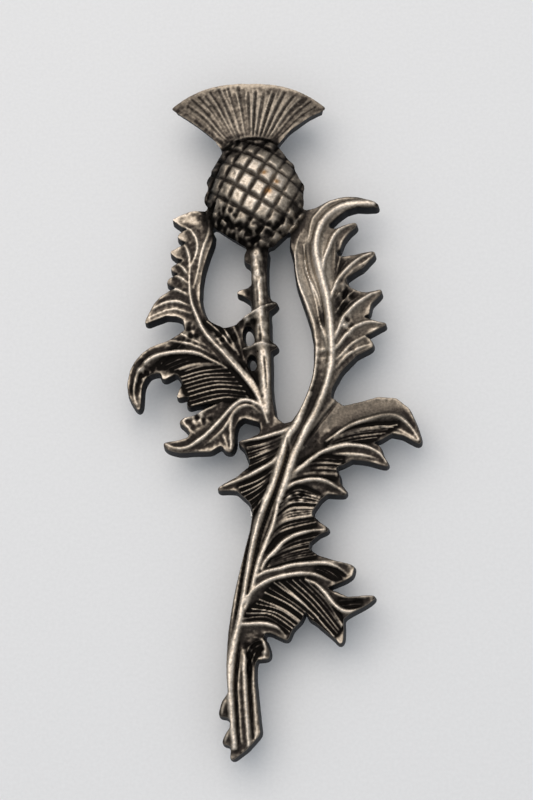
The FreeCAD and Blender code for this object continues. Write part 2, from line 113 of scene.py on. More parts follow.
def runTree(name, tree, mesh, values):
    # evaluates a tree on a mesh and returns the plain mesh it makes
    piece = addObject(name, mesh)
    modifier = piece.modifiers.new(name, "NODES")
    modifier.node_group = tree
    for item in tree.interface.items_tree:
        if item.in_out == "INPUT" and item.name in values:
            modifier[item.identifier] = values[item.name]
    graph = bpy.context.evaluated_depsgraph_get()
    made = bpy.data.meshes.new_from_object(piece.evaluated_get(graph))
    bpy.data.objects.remove(piece)
    return made


# the camera, at the photo's angle
camera = {
    "toCamera": (0.08, -0.25),   # share of the line of sight along x and y
    "distance": 300.0,           # mm
    "target": (-0.9193, 1.4061, 6.0),   # mm
    "lens": 93.79, "clipStart": 10.0,   # mm
}


def addCamera():
    x, y = camera["toCamera"]
    back = Vector((x, y, math.sqrt(1 - x * x - y * y)))
    side = Vector((0, 1, 0)).cross(back).normalized()
    up = back.cross(side)
    place = (Vector(camera["target"]) + back * camera["distance"]) * mm
    turn = Matrix((side, up, back)).transposed().to_4x4()
    data = bpy.data.cameras.new("photoCamera")
    data.lens = camera["lens"]
    data.clip_start = camera["clipStart"] * mm
    piece = addObject("photoCamera", data)
    piece.matrix_world = Matrix.Translation(place) @ turn
    bpy.context.scene.camera = piece


addCamera()

# the drawing of the relief, in mm on the brooch's face
# width and rise of each kind of line, and how thin its two ends get
lineKinds = {
    "stalk": {"width": 2.2, "rise": 0.62, "ends": (0.95, 0.45)},
    "knob": {"width": 1.9, "rise": 0.75, "ends": (0.8, 0.8)},
    "tendril": {"width": 0.55, "rise": 0.85, "ends": (0.6, 0.6)},
    "strip": {"width": 0.85, "rise": 0.5, "ends": (0.8, 0.7)},
    "web": {"width": 0.40, "rise": 0.34, "ends": (0.9, 0.9)},
    "band": {"width": 1.4, "rise": 0.62, "ends": (0.7, 0.8)},
    "rib": {"width": 0.85, "rise": 0.58, "ends": (0.6, 0.35)},
    "vein": {"width": 0.62, "rise": 0.42, "ends": (0.45, 0.35)},
    "fine": {"width": 0.38, "rise": 0.30, "ends": (0.9, 0.8)},
    "hair": {"width": 0.30, "rise": 0.25, "ends": (0.8, 0.75)},
}

# single lines: kind, then its points from root to tip
leafLines = (
    # left leaf: midrib, the strip beside the window, and the lobes' veins
    ("rib", (-0.6, -2.4), (-2.0, 1.4), (-4.0, 4.5), (-6.0, 7.0), (-8.0, 9.3), (-9.3, 10.7),
     (-10.3, 12.3), (-11.1, 14.2), (-11.8, 16.2), (-12.1, 19.0), (-12.0, 22.0)),
    ("vein", (-11.5, 18.0), (-10.9, 20.5), (-10.6, 22.0), (-10.2, 24.0), (-9.5, 26.0),
     (-9.2, 27.5), (-9.7, 29.0), (-10.8, 29.6)),
    ("vein", (-11.9, 21.5), (-11.1, 23.5), (-11.0, 24.8), (-11.3, 26.0), (-12.1, 27.2),
     (-12.9, 27.5)),
    ("vein", (-12.2, 21.0), (-12.2, 23.0), (-12.5, 24.1), (-13.0, 24.9)),
    ("vein", (-12.2, 20.0), (-13.0, 21.2), (-14.0, 22.1)),
    ("vein", (-12.2, 18.8), (-13.4, 19.8), (-14.4, 20.1)),
    ("vein", (-12.0, 16.8), (-13.3, 17.7), (-14.5, 18.1), (-15.2, 18.0)),
    ("vein", (-12.0, 15.4), (-13.5, 16.1), (-15.0, 16.2), (-16.5, 15.7), (-17.6, 15.0)),
    ("fine", (-11.7, 14.2), (-13.5, 14.9), (-15.0, 15.0), (-16.5, 14.5), (-18.1, 13.8)),
    ("vein", (-8.9, 12.0), (-6.5, 8.3), (-4.4, 5.8), (-2.6, 3.4), (-1.3, 0.6), (-0.4, -1.4)),
    ("fine", (-9.2, 9.3), (-7.4, 6.9), (-5.2, 4.2), (-3.4, 1.4), (-2.0, -0.6)),
    ("hair", (-10.6, 10.4), (-8.6, 8.3), (-6.6, 6.0), (-4.6, 3.4)),
    # hook
    ("rib", (-6.5, 5.9), (-8.0, 6.8), (-9.2, 7.4), (-10.5, 8.1), (-12.0, 8.4), (-13.5, 8.5),
     (-15.0, 8.4), (-16.5, 8.1), (-17.8, 7.5), (-18.8, 6.6), (-19.4, 5.5), (-19.8, 4.3),
     (-20.0, 3.0), (-19.9, 1.8), (-19.5, 0.7)),
    ("vein", (-8.6, 8.0), (-11.0, 9.3), (-13.4, 10.0), (-15.0, 10.3)),
    ("vein", (-9.3, 9.2), (-12.0, 10.5), (-13.4, 11.4)),
    # sub-leaf
    ("rib", (-1.2, -0.6), (-1.9, 0.3), (-3.2, 1.0), (-4.5, 1.0), (-5.8, 0.1), (-7.0, -1.3),
     (-8.3, -2.7), (-9.5, -3.9), (-10.7, -4.8), (-12.0, -5.6), (-13.3, -5.8), (-14.5, -5.5),
     (-15.4, -5.0)),
    ("vein", (-1.6, -1.0), (-2.8, 0.1), (-4.0, 0.3), (-5.2, -0.4), (-6.0, -1.5), (-6.8, -2.8),
     (-8.2, -4.2), (-9.8, -5.5)),
    ("vein", (-5.6, -1.0), (-5.9, -2.4), (-6.0, -3.6), (-5.9, -5.2), (-6.0, -6.2)),
    ("fine", (-7.1, -3.9), (-6.6, -5.0), (-6.3, -6.0)),
    ("fine", (-13.0, -1.8), (-11.4, -0.9), (-9.5, -0.2), (-7.0, 1.1)),
    ("fine", (-12.8, -1.9), (-11.8, -3.0), (-11.0, -3.8)),
    # tendrils over the thistle's stem
    ("tendril", (-5.0, 12.8), (-3.6, 13.6), (-2.5, 14.2), (-0.5, 15.2), (0.6, 15.5)),
    ("tendril", (-4.3, 8.7), (-3.2, 8.9), (-1.8, 9.4), (-0.6, 9.2), (0.6, 9.0)),
    ("knob", (-2.9, 22.5), (-2.3, 23.0), (-1.6, 23.3)),
    ("stalk", (-2.4, 23.6), (-2.1, 21.0), (-1.8, 17.0), (-1.6, 13.0), (-1.3, 9.0), (-1.1, 5.0),
     (-0.9, 1.5), (-0.6, -1.0)),
    # right leaf: the main rib and the lobes' veins
    ("band", (5.0, -3.2), (6.2, -1.0), (7.2, 1.5), (8.0, 4.0), (8.5, 6.5), (8.6, 8.5),
     (8.5, 10.5), (8.4, 13.0), (8.1, 15.5), (7.7, 17.5), (7.2, 19.5), (6.8, 21.0), (6.5, 22.5),
     (6.4, 24.0), (6.7, 26.0), (7.4, 27.7), (8.5, 29.0), (9.8, 29.9), (11.5, 30.4),
     (13.5, 30.5), (15.2, 30.3)),
    ("rib", (7.5, 18.6), (7.6, 21.5), (8.2, 23.5), (8.9, 25.3), (9.6, 26.2), (10.8, 27.0),
     (12.1, 27.5)),
    ("rib", (8.4, 15.4), (9.3, 18.2), (10.3, 19.7), (11.5, 21.0), (12.8, 22.1), (14.6, 22.9)),
    ("fine", (10.5, 18.9), (12.0, 20.5), (13.5, 21.5), (14.8, 22.4)),
    ("rib", (8.7, 9.0), (9.5, 11.0), (10.3, 13.0), (11.5, 14.5), (13.0, 15.7), (14.5, 16.6),
     (15.9, 17.1)),
    ("rib", (8.9, 8.0), (9.8, 9.2), (11.0, 10.9), (12.5, 11.9), (14.0, 12.4), (16.1, 12.1)),
    ("vein", (8.9, 6.5), (10.0, 7.5), (11.2, 8.9), (12.5, 9.8), (13.9, 10.5)),
    ("vein", (8.8, 5.0), (10.3, 6.9), (11.5, 7.9), (13.0, 8.7), (14.3, 9.1)),
    ("vein", (6.4, 9.5), (6.0, 12.5), (5.0, 15.5), (3.9, 18.5), (3.4, 21.0), (3.5, 24.0),
     (4.3, 26.5)),
    ("vein", (7.2, 13.8), (6.6, 16.2), (5.8, 18.4), (5.0, 20.2), (4.7, 22.5), (5.0, 25.5)),
    ("vein", (5.2, 24.5), (5.5, 26.2), (5.9, 28.0), (7.0, 29.5), (8.5, 30.7), (11.0, 31.3),
     (13.2, 31.0)),
    ("vein", (8.0, 8.0), (7.4, 11.0), (6.5, 13.8)),
    ("hair", (6.7, 6.5), (6.75, 9.5), (6.4, 12.0), (5.5, 15.0), (4.5, 18.0), (4.0, 20.5)),
    ("hair", (7.1, 7.0), (7.2, 9.5), (6.9, 12.0), (6.1, 14.6), (5.3, 17.0)),
    ("vein", (6.5, 10.0), (6.4, 7.2), (6.1, 4.6), (5.4, 2.2), (4.4, 0.0)),
    # big lobe
    ("rib", (7.6, -5.3), (9.0, -4.3), (10.5, -3.3), (12.0, -2.6), (14.0, -2.0), (15.5, -1.6),
     (17.0, -1.5), (18.2, -1.9), (19.3, -2.8), (20.2, -4.0), (20.9, -5.3)),
    ("fine", (14.5, -2.9), (16.5, -3.2), (18.0, -3.6), (19.5, -4.4), (20.7, -5.4)),
    # middle lobe, short lobe
    ("rib", (1.9, -10.9), (3.0, -9.8), (4.2, -8.9), (5.5, -7.8), (7.0, -6.8), (8.5, -6.3),
     (10.5, -5.8), (12.5, -5.9), (14.0, -6.3), (15.3, -7.1), (16.3, -8.5)),
    ("vein", (8.5, -7.1), (10.5, -7.1), (13.0, -7.3), (15.2, -7.9)),
    ("rib", (2.2, -12.0), (3.0, -11.3), (4.0, -11.0), (5.5, -10.7), (7.0, -10.8), (8.3, -11.3),
     (9.5, -12.1), (10.5, -12.8)),
    # left side spikes of the main leaf
    ("rib", (2.8, -2.9), (1.5, -3.6), (0.0, -4.1), (-2.0, -4.6), (-4.6, -4.95)),
    ("rib", (1.4, -6.0), (0.8, -7.2), (0.0, -8.1), (-1.2, -8.9), (-3.0, -9.8), (-5.0, -10.7),
     (-7.5, -11.6)),
    # the two ribs of the main stem, and the thin ones beside them
    ("band", (5.5, 2.2), (4.6, 0.0), (3.5, -2.5), (2.3, -4.5), (1.5, -6.5), (0.8, -9.0),
     (0.0, -11.5), (-0.8, -13.5), (-1.6, -15.5)),
    ("strip", (-1.1, -13.4), (-2.2, -17.5), (-2.95, -20.7), (-3.65, -24.7), (-4.1, -27.6),
     (-4.75, -30.4), (-5.2, -32.6)),
    ("fine", (-3.0, -16.0), (-3.7, -19.5), (-4.5, -24.0), (-5.2, -28.0), (-5.7, -31.5), (-6.05, -35.0)),
    ("band", (8.4, 6.0), (8.0, 4.0), (7.2, 1.5), (6.2, -1.0), (5.0, -3.2), (4.0, -5.2),
     (3.2, -7.0), (2.6, -8.8), (2.1, -10.5), (1.6, -12.0), (0.9, -14.0)),
    ("strip", (1.5, -12.2), (0.95, -13.6), (0.2, -16.7), (-1.2, -20.4), (-2.1, -23.1), (-3.0, -26.8),
     (-3.9, -29.3)),
    ("band", (-4.1, -29.0), (-4.8, -31.6), (-5.3, -34.0), (-5.75, -36.5), (-5.85, -39.5),
     (-5.75, -42.0), (-5.5, -45.0), (-5.2, -48.6)),
    ("fine", (9.3, 0.5), (8.0, -1.3), (6.5, -3.3), (5.0, -5.3), (4.2, -6.7)),
    ("hair", (9.0, 0.9), (7.5, -1.0), (6.0, -3.1), (4.7, -4.9)),
    ("fine", (-4.2, -34.5), (-4.68, -39.5), (-4.52, -43.0), (-4.25, -47.6)),
    ("strip", (-4.1, -34.6), (-3.95, -35.0), (-3.9, -37.5), (-3.8, -40.0), (-3.6, -43.0),
     (-3.4, -46.0), (-3.3, -48.2)),
    ("fine", (-2.75, -35.5), (-2.6, -39.5), (-2.4, -43.0), (-2.1, -46.6)),
    # lower leaf
    ("rib", (-1.6, -23.6), (-0.8, -22.2), (0.5, -20.8), (1.5, -19.7), (3.0, -18.8),
     (4.5, -18.3), (6.0, -18.0), (7.6, -17.9)),
    ("rib", (-2.4, -24.7), (-1.0, -23.9), (1.0, -23.4), (3.0, -22.9), (5.0, -22.75),
     (7.0, -22.65), (8.5, -23.0), (9.5, -23.5), (10.6, -24.4)),
    ("fine", (6.0, -22.4), (9.0, -22.5), (11.4, -23.0)),
    ("rib", (-4.2, -28.5), (-3.0, -26.8), (-1.5, -25.6), (0.0, -24.9), (2.0, -24.4),
     (4.0, -24.15), (6.0, -24.3), (7.5, -24.9), (8.7, -25.5)),
    ("rib", (4.5, -24.9), (6.0, -25.6), (7.3, -26.8), (8.2, -28.0), (9.0, -28.9), (10.0, -29.5),
     (11.5, -29.5), (13.0, -29.0), (14.2, -28.0)),
    ("vein", (8.4, -26.8), (10.0, -27.5), (12.0, -27.5), (14.2, -27.4)),
    ("rib", (-4.9, -31.3), (-3.5, -31.2), (-1.5, -31.1), (0.0, -31.4), (1.0, -31.9),
     (2.0, -33.1)),
    ("vein", (-2.6, -33.0), (-1.4, -33.4), (-1.0, -34.6), (-1.2, -36.0)),
    # thorns at the stem's end
    ("vein", (-6.1, -40.6), (-6.6, -42.0), (-6.9, -43.0), (-7.1, -44.0)),
    ("vein", (-5.8, -45.2), (-6.3, -46.6), (-6.6, -47.7)),
)

# how far a fan's lines drift from their even places in mm, and how their sizes vary
fanVaries = {"drift": 0.08, "width": (0.85, 1.15), "rise": (0.8, 1.15)}

# fans of lines: kind, how many, the first line and the last one
leafFans = (
    # left leaf's web below the hook's rib
    ("fine", 5, ((-10.6, 7.6), (-13.2, 7.4), (-15.9, 6.3)), ((-7.5, 6.4), (-10.4, 6.3), (-12.9, 5.6))),
    ("web", 8, ((-6.2, 6.0), (-9.8, 5.8), (-13.2, 4.9)), ((-2.6, 0.9), (-6.8, 1.7), (-11.8, 0.6))),
    ("hair", 9, ((-13.2, 9.6), (-13.6, 9.2), (-14.0, 8.9)), ((-20.4, 3.4), (-20.2, 3.2), (-20.0, 3.0))),
    # between the midrib and the window
    ("fine", 3, ((-9.6, 13.0), (-7.6, 11.2), (-5.4, 8.4)), ((-5.6, 12.3), (-4.8, 10.2), (-4.0, 7.0))),
    ("fine", 2, ((-5.2, 6.6), (-3.4, 4.3), (-1.9, 1.4)), ((-3.9, 6.2), (-2.6, 3.9), (-1.5, 1.0))),
    # right leaf's long strips
    ("fine", 2, ((7.8, 10.5), (7.7, 14.0), (7.0, 18.0), (6.0, 21.5), (5.7, 25.0)),
     ((6.9, 11.5), (6.3, 15.0), (5.4, 18.2), (4.9, 20.8), (4.4, 24.5))),
    ("hair", 3, ((9.2, 24.5), (9.0, 22.0), (9.0, 19.8)), ((10.9, 21.6), (10.2, 20.6), (9.4, 18.9))),
    ("hair", 3, ((9.0, 15.5), (10.0, 17.0), (11.3, 18.2)), ((9.2, 12.0), (10.6, 14.6), (12.6, 16.4))),
    # big lobe's web
    ("fine", 6, ((8.8, -4.8), (12.0, -3.4), (18.0, -2.9)), ((7.8, -6.0), (11.4, -5.2), (15.0, -4.7))),
    # middle lobe's web
    ("fine", 8, ((3.4, -9.1), (6.3, -7.8), (10.0, -7.9)), ((2.3, -10.9), (5.2, -10.2), (9.4, -10.4))),
    # main leaf, left of the ribs
    ("fine", 7, ((1.9, -4.1), (-1.0, -5.1), (-3.7, -5.7)), ((1.2, -6.4), (-1.2, -7.6), (-3.6, -8.6))),
    ("fine", 6, ((0.6, -9.0), (-2.0, -10.7), (-4.8, -11.7)), ((-0.6, -12.4), (-1.8, -13.8), (-2.8, -15.1))),
    # lower leaf, upper lobe
    ("fine", 14, ((1.6, -13.3), (3.8, -12.2), (6.9, -13.2)), ((-1.4, -21.4), (1.0, -18.4), (6.2, -16.9))),
    ("fine", 7, ((0.4, -21.2), (3.2, -19.7), (6.6, -18.9)), ((-0.9, -23.3), (2.4, -22.3), (6.0, -21.6))),
    # lower leaf, under the long ribs
    ("web", 5, ((4.6, -25.0), (7.5, -28.0), (9.9, -31.6)), ((0.9, -25.2), (4.4, -28.2), (8.7, -33.0))),
    ("web", 8, ((0.1, -25.4), (3.6, -28.0), (6.4, -30.4)), ((-4.3, -30.4), (-0.8, -30.2), (2.5, -32.3))),
    ("hair", 2, ((9.4, -28.1), (10.8, -28.1), (12.0, -28.1)), ((9.8, -28.7), (11.2, -28.6), (12.5, -28.5))),
    ("hair", 3, ((8.2, -23.4), (9.2, -24.0), (10.2, -24.9)), ((6.2, -23.5), (7.6, -24.1), (8.9, -25.0))),
    # cut stem
    ("hair", 3, ((-1.4, -33.4), (-3.2, -34.3), (-4.3, -37.8)), ((-1.6, -34.4), (-2.6, -35.4), (-3.5, -38.4))),
)

# cuts: width, depth, then points. They are sunk into the relief, thin at both ends
cutEnds = (0.5, 0.5)
leafCuts = (
    (0.7, 0.5, (-6.9, 39.2), (-5.0, 40.2), (-3.0, 40.6), (-1.0, 40.4), (0.9, 39.6)),
    (0.4, 0.4, (-2.0, -13.5), (-2.8, -16.5), (-3.35, -19.5), (-4.1, -23.5), (-4.65, -27.0),
     (-5.2, -30.5)),
    (0.5, 0.45, (2.3, -4.8), (2.2, -7.0), (1.3, -10.0), (0.4, -12.6), (-0.4, -14.8), (-1.4, -17.6),
     (-2.1, -20.4), (-2.8, -23.6), (-3.5, -27.0)),
    (0.38, 0.3, (-4.5, -33.6), (-4.8, -36.0), (-5.1, -39.5), (-4.95, -43.0), (-4.6, -48.0)),
    (0.45, 0.35, (-3.1, -35.0), (-3.18, -39.5), (-2.95, -43.0), (-2.64, -47.2)),
    (0.5, 0.3, (9.6, 1.0), (8.6, -0.3), (7.2, -2.1), (5.8, -4.0), (4.6, -5.9)),
    (0.3, 0.22, (-1.35, 21.5), (-1.1, 17.5), (-0.85, 13.5)),
    (0.25, 0.18, (-2.35, 19.6), (-2.15, 16.5), (-2.0, 14.6)),
    (0.3, 0.22, (-1.2, 8.2), (-0.95, 5.5), (-0.7, 2.6)),
    (0.55, 0.4, (-2.4, 23.0), (-2.1, 22.9)),
    (0.3, 0.22, (-1.9, 12.4), (-1.7, 10.6), (-1.6, 9.8)),
    (0.3, 0.22, (-1.7, 21.9), (-1.6, 20.6), (-1.5, 19.9)),
)


def lineMesh(name, lines):
    # lines as loose edges whose points carry a half width and a rise, in metres
    points, edges, halfWidths, rises = [], [], [], []
    for width, rise, ends, path in lines:
        last = len(path) - 1
        for i, (x, y) in enumerate(path):
            along = i / last
            # full width after the first quarter, and until the last third
            thin = min(1.0, ends[0] + 4 * along * (1 - ends[0]),
                       ends[1] + 3 * (1 - along) * (1 - ends[1]))
            if i:
                edges.append((len(points) - 1, len(points)))
            points.append((x * mm, y * mm, 0))
            halfWidths.append(0.5 * width * thin * mm)
            rises.append(rise * (0.3 + 0.7 * thin) * mm)
    mesh = bpy.data.meshes.new(name)
    mesh.from_pydata(points, edges, [])
    for label, values in (("halfWidth", halfWidths), ("rise", rises)):
        mesh.attributes.new(label, "FLOAT", "POINT").data.foreach_set("value", values)
    return mesh


def fanLines(fans, rng):
    lines = []
    for kind, count, first, last in fans:
        style = lineKinds[kind]
        for k in range(count):
            t = k / max(1, count - 1)
            drift = rng.normal(0, fanVaries["drift"], 2)
            path = [((1 - t) * a[0] + t * b[0] + drift[0], (1 - t) * a[1] + t * b[1] + drift[1])
                    for a, b in zip(first, last)]
            width = style["width"] * rng.uniform(*fanVaries["width"])
            rise = style["rise"] * rng.uniform(*fanVaries["rise"])
            lines.append((width, rise, style["ends"], path))
    return lines


def sweepTree():
    # sweeps a round bar along smooth lines, then sets its height to the rise
    tree, given = newTree("sweepLines", (("Sides", "Int"), ("Step", "Float"), ("Metal", "Material")))
    curve = addNode(tree, "GeometryNodeMeshToCurve", None, {0: given["Geometry"]})
    smooth = addNode(tree, "GeometryNodeCurveSplineType", {"spline_type": "CATMULL_ROM"},
                     {0: curve.outputs[0]})
    even = addNode(tree, "GeometryNodeResampleCurve", {"mode": "LENGTH"},
                   {0: smooth.outputs[0], "Length": given["Step"]})
    halfWidth, rise = [
        addNode(tree, "GeometryNodeInputNamedAttribute", {"data_type": "FLOAT"},
                {"Name": label}).outputs[0] for label in ("halfWidth", "rise")]
    ring = addNode(tree, "GeometryNodeCurvePrimitiveCircle", None,
                   {"Resolution": given["Sides"], "Radius": 1.0})
    bar = addNode(tree, "GeometryNodeCurveToMesh", None,
                  {"Curve": even.outputs[0], "Profile Curve": ring.outputs[0],
                   "Scale": halfWidth, "Fill Caps": True})
    share = addNode(tree, "ShaderNodeMath", {"operation": "DIVIDE"}, {0: rise, 1: halfWidth})
    height = addNode(tree, "ShaderNodeCombineXYZ", None, {0: 1.0, 1: 1.0, 2: share.outputs[0]})
    place = addNode(tree, "GeometryNodeInputPosition")
    raised = addNode(tree, "ShaderNodeVectorMath", {"operation": "MULTIPLY"},
                     {0: place.outputs[0], 1: height.outputs[0]})
    pressed = addNode(tree, "GeometryNodeSetPosition", None,
                      {0: bar.outputs[0], "Position": raised.outputs[0]})
    finishTree(tree, pressed.outputs[0], given["Metal"])
    return tree


# the plume: where its flutes end below the rim in mm, and how its lines vary
plume = {
    "fluteEnds": (-13.6, -12.5, -11.5, -10.6, -9.6, -8.3, -6.8, -5.1, -3.6, -2.3, -0.9, 0.8,
                  2.4, 3.9, 5.2, 6.3, 7.3),
    "collarLeft": (-7.0, 39.9), "collarRight": (0.7, 40.1), "collarRise": 0.9,
    "rimLeft": (-15.2, 45.9), "rimRight": (8.2, 45.4), "rimRise": 4.3,
    "arcPower": 2.6, "bow": 0.16,
    "start": -0.05,                       # just below the collar, as a share of the way up
    "evenGap": 0.118, "widest": 1.25,     # a flute is wider beside wide gaps, up to this share
    "fluteWidth": 0.38, "fluteDepth": 0.21, "depthVaries": (0.6, 1.3),
    "fluteStop": 0.95, "stopsShort": 0.13,
    # how thin the two ends of each kind get
    "fluteTips": (0.35, 0.8), "broadTips": (0.5, 0.6), "hairTips": (0.8, 0.3),
    "broadFlutes": 11, "broadReach": 0.97, "broadWidth": (0.9, 1.6), "broadDepth": 0.15,
    "broadStart": 0.05, "broadStop": (0.65, 0.97),
    "hairWidth": 0.32, "hairRise": 0.11, "riseVaries": (0.5, 1.25),
    "hairPlaces": (0.3, 0.68), "hairDrift": 0.08, "hairStop": (0.72, 0.98), "outermost": 0.985,
}


def arcPoint(left, right, rise, across):
    # a point on a fuller arch: across runs from -1 on the left to 1 on the right
    share = 0.5 * (across + 1)
    y = left[1] + (right[1] - left[1]) * share + rise * (1 - abs(across) ** plume["arcPower"])
    return left[0] + (right[0] - left[0]) * share, y


def plumeLine(across, start, end):
    # a line of the fan from the collar out towards the rim, slightly bowed
    low = arcPoint(plume["collarLeft"], plume["collarRight"], plume["collarRise"], across)
    high = arcPoint(plume["rimLeft"], plume["rimRight"], plume["rimRise"], across)
    path = []
    last = 4
    for k in range(last + 1):
        t = start + (end - start) * k / last
        bow = 1 - plume["bow"] * math.sin(math.pi * t) * abs(across)
        spread = t * bow
        path.append((low[0] + (high[0] - low[0]) * spread, low[1] + (high[1] - low[1]) * t))
    return path


def plumeLines(rng):
    flutes, hairs = [], []
    left, right = plume["rimLeft"][0], plume["rimRight"][0]
    ends = [2 * (x - left) / (right - left) - 1 for x in plume["fluteEnds"]]
    for k, across in enumerate(ends):
        gap = 0.5 * (ends[min(k + 1, len(ends) - 1)] - ends[max(k - 1, 0)])
        width = plume["fluteWidth"] * min(plume["widest"], gap / plume["evenGap"])
        stop = plume["fluteStop"] - plume["stopsShort"] * rng.random() ** 2
        depth = plume["fluteDepth"] * rng.uniform(*plume["depthVaries"])
        path = plumeLine(across, plume["start"], stop)
        flutes.append((width, depth, plume["fluteTips"], path))
    reach = plume["broadReach"]
    for _ in range(plume["broadFlutes"]):
        across = rng.uniform(-reach, reach)
        path = plumeLine(across, plume["broadStart"], rng.uniform(*plume["broadStop"]))
        width = rng.uniform(*plume["broadWidth"])
        flutes.append((width, plume["broadDepth"], plume["broadTips"], path))
    edges = [-plume["outermost"]] + ends + [plume["outermost"]]
    drift = plume["hairDrift"]
    for a, b in zip(edges[:-1], edges[1:]):
        for share in plume["hairPlaces"]:
            across = a + (b - a) * (share + rng.uniform(-drift, drift))
            rise = plume["hairRise"] * rng.uniform(*plume["riseVaries"])
            path = plumeLine(across, plume["start"], rng.uniform(*plume["hairStop"]))
            hairs.append((plume["hairWidth"], rise, plume["hairTips"], path))
    return flutes, hairs


# the bulb's scales, in mm
bulb = {
    "middle": (-2.4, 32.0), "halfWidth": 7.6, "halfHeight": 8.6,
    # the outline: y, left and right
    "rows": ((23.9, -3.9, 0.6), (25.4, -6.3, 2.2), (27.0, -8.6, 3.7), (28.7, -9.4, 4.7),
             (30.5, -9.85, 5.05), (32.3, -9.85, 4.95), (34.1, -9.65, 4.5), (35.9, -9.25, 3.7),
             (37.6, -8.3, 2.6), (39.2, -7.0, 1.3), (40.5, -5.9, 0.0)),
    "anchor": (-1.65, 32.2),          # the middle of one scale
    "alongRow": (1.92, -1.22), "acrossRow": (1.30, 2.42),
    "footShare": 0.97, "topShare": 0.69, "rise": 0.54,
    "turn": (0.07, 0.07, 0.04),       # how far a scale is turned at most, in radians
    "smallest": (0.94, 0.94, 0.8), "largest": (1.02, 1.02, 1.15),
    "gridRows": 13, "bend": 0.93, "round": 0.08, "edgeBlur": 0.12, "seed": 4,
}


def scaleTree():
    # one four-sided scale with a flat top on every place of a skewed grid
    tree, given = newTree("bulbScales", (
        ("Rise", "Float"), ("Foot Share", "Float"), ("Top Share", "Float"), ("Rows", "Int"),
        ("Along Row", "Vector"), ("Across Row", "Vector"), ("Seed", "Int"), ("Metal", "Material")))

    def skew(along, across):
        # so many steps along a row and across the rows
        moves = [addNode(tree, "ShaderNodeVectorMath", {"operation": "SCALE"},
                         {0: given[label], "Scale": steps}).outputs[0]
                 for label, steps in (("Along Row", along), ("Across Row", across))]
        return addNode(tree, "ShaderNodeVectorMath", {"operation": "ADD"},
                       {0: moves[0], 1: moves[1]}).outputs[0]

    grid = addNode(tree, "GeometryNodeMeshGrid", None, {
        "Vertices X": given["Rows"], "Vertices Y": given["Rows"], "Size X": 1.0, "Size Y": 1.0})
    spaces = addNode(tree, "ShaderNodeMath", {"operation": "SUBTRACT"}, {0: given["Rows"], 1: 1.0})
    place = addNode(tree, "GeometryNodeInputPosition")
    counted = addNode(tree, "ShaderNodeVectorMath", {"operation": "SCALE"},
                      {0: place.outputs[0], "Scale": spaces.outputs[0]})
    parts = addNode(tree, "ShaderNodeSeparateXYZ", None, {0: counted.outputs[0]})
    skewed = addNode(tree, "GeometryNodeSetPosition", None,
                     {0: grid.outputs[0], "Position": skew(parts.outputs[0], parts.outputs[1])})
    # a four-sided cone's radius reaches to its corners
    foot, top = [addNode(tree, "ShaderNodeMath", {"operation": "MULTIPLY"},
                         {0: given[label], 1: math.sqrt(0.5)}).outputs[0]
                 for label in ("Foot Share", "Top Share")]
    scale = addNode(tree, "GeometryNodeMeshCone", None, {
        "Vertices": 4, "Radius Top": top, "Radius Bottom": foot, "Depth": given["Rise"]})
    squared = addNode(tree, "GeometryNodeTransform", None,
                      {0: scale.outputs[0], "Rotation": (0, 0, math.radians(45))})
    # the unit square is sheared to the grid's own cell
    corner = addNode(tree, "GeometryNodeInputPosition")
    bits = addNode(tree, "ShaderNodeSeparateXYZ", None, {0: corner.outputs[0]})
    lift = addNode(tree, "ShaderNodeCombineXYZ", None, {2: bits.outputs[2]})
    sheared = addNode(tree, "ShaderNodeVectorMath", {"operation": "ADD"},
                      {0: skew(bits.outputs[0], bits.outputs[1]), 1: lift.outputs[0]})
    shaped = addNode(tree, "GeometryNodeSetPosition", None,
                     {0: squared.outputs[0], "Position": sheared.outputs[0]})
    turn = addNode(tree, "FunctionNodeRandomValue", {"data_type": "FLOAT_VECTOR"},
                   {0: [-t for t in bulb["turn"]], 1: bulb["turn"], "Seed": given["Seed"]})
    grown = addNode(tree, "FunctionNodeRandomValue", {"data_type": "FLOAT_VECTOR"},
                    {0: bulb["smallest"], 1: bulb["largest"], "Seed": given["Seed"]})
    placed = addNode(tree, "GeometryNodeInstanceOnPoints", None, {
        "Points": skewed.outputs[0], "Instance": shaped.outputs[0],
        "Rotation": turn.outputs[0], "Scale": grown.outputs[0]})
    finishTree(tree, placed.outputs[0], given["Metal"])
    return tree


# pits of the cast skin, as small balls scattered over the face
pits = {"perSquareMm": 0.55, "radius": (0.10, 0.32), "flatness": 0.55, "depthShare": 0.5, "seed": 5}


def pitTree():
    tree, given = newTree("castPits", (
        ("Density", "Float"), ("Smallest", "Float"), ("Largest", "Float"), ("Flatness", "Float"),
        ("Seed", "Int"), ("Metal", "Material")))
    points = addNode(tree, "GeometryNodeDistributePointsOnFaces", None, {
        0: given["Geometry"], "Density": given["Density"], "Seed": given["Seed"]})
    ball = addNode(tree, "GeometryNodeMeshIcoSphere", None, {"Radius": 1.0, "Subdivisions": 1})
    radius = addNode(tree, "FunctionNodeRandomValue", {"data_type": "FLOAT"},
                     {"Min": given["Smallest"], "Max": given["Largest"], "Seed": given["Seed"]})
    flat = addNode(tree, "ShaderNodeMath", {"operation": "MULTIPLY"},
                   {0: radius.outputs[1], 1: given["Flatness"]})
    size = addNode(tree, "ShaderNodeCombineXYZ", None,
                   {0: radius.outputs[1], 1: radius.outputs[1], 2: flat.outputs[0]})
    placed = addNode(tree, "GeometryNodeInstanceOnPoints", None, {
        "Points": points.outputs[0], "Instance": ball.outputs[0], "Scale": size.outputs[0]})
    finishTree(tree, placed.outputs[0], given["Metal"])
    return tree


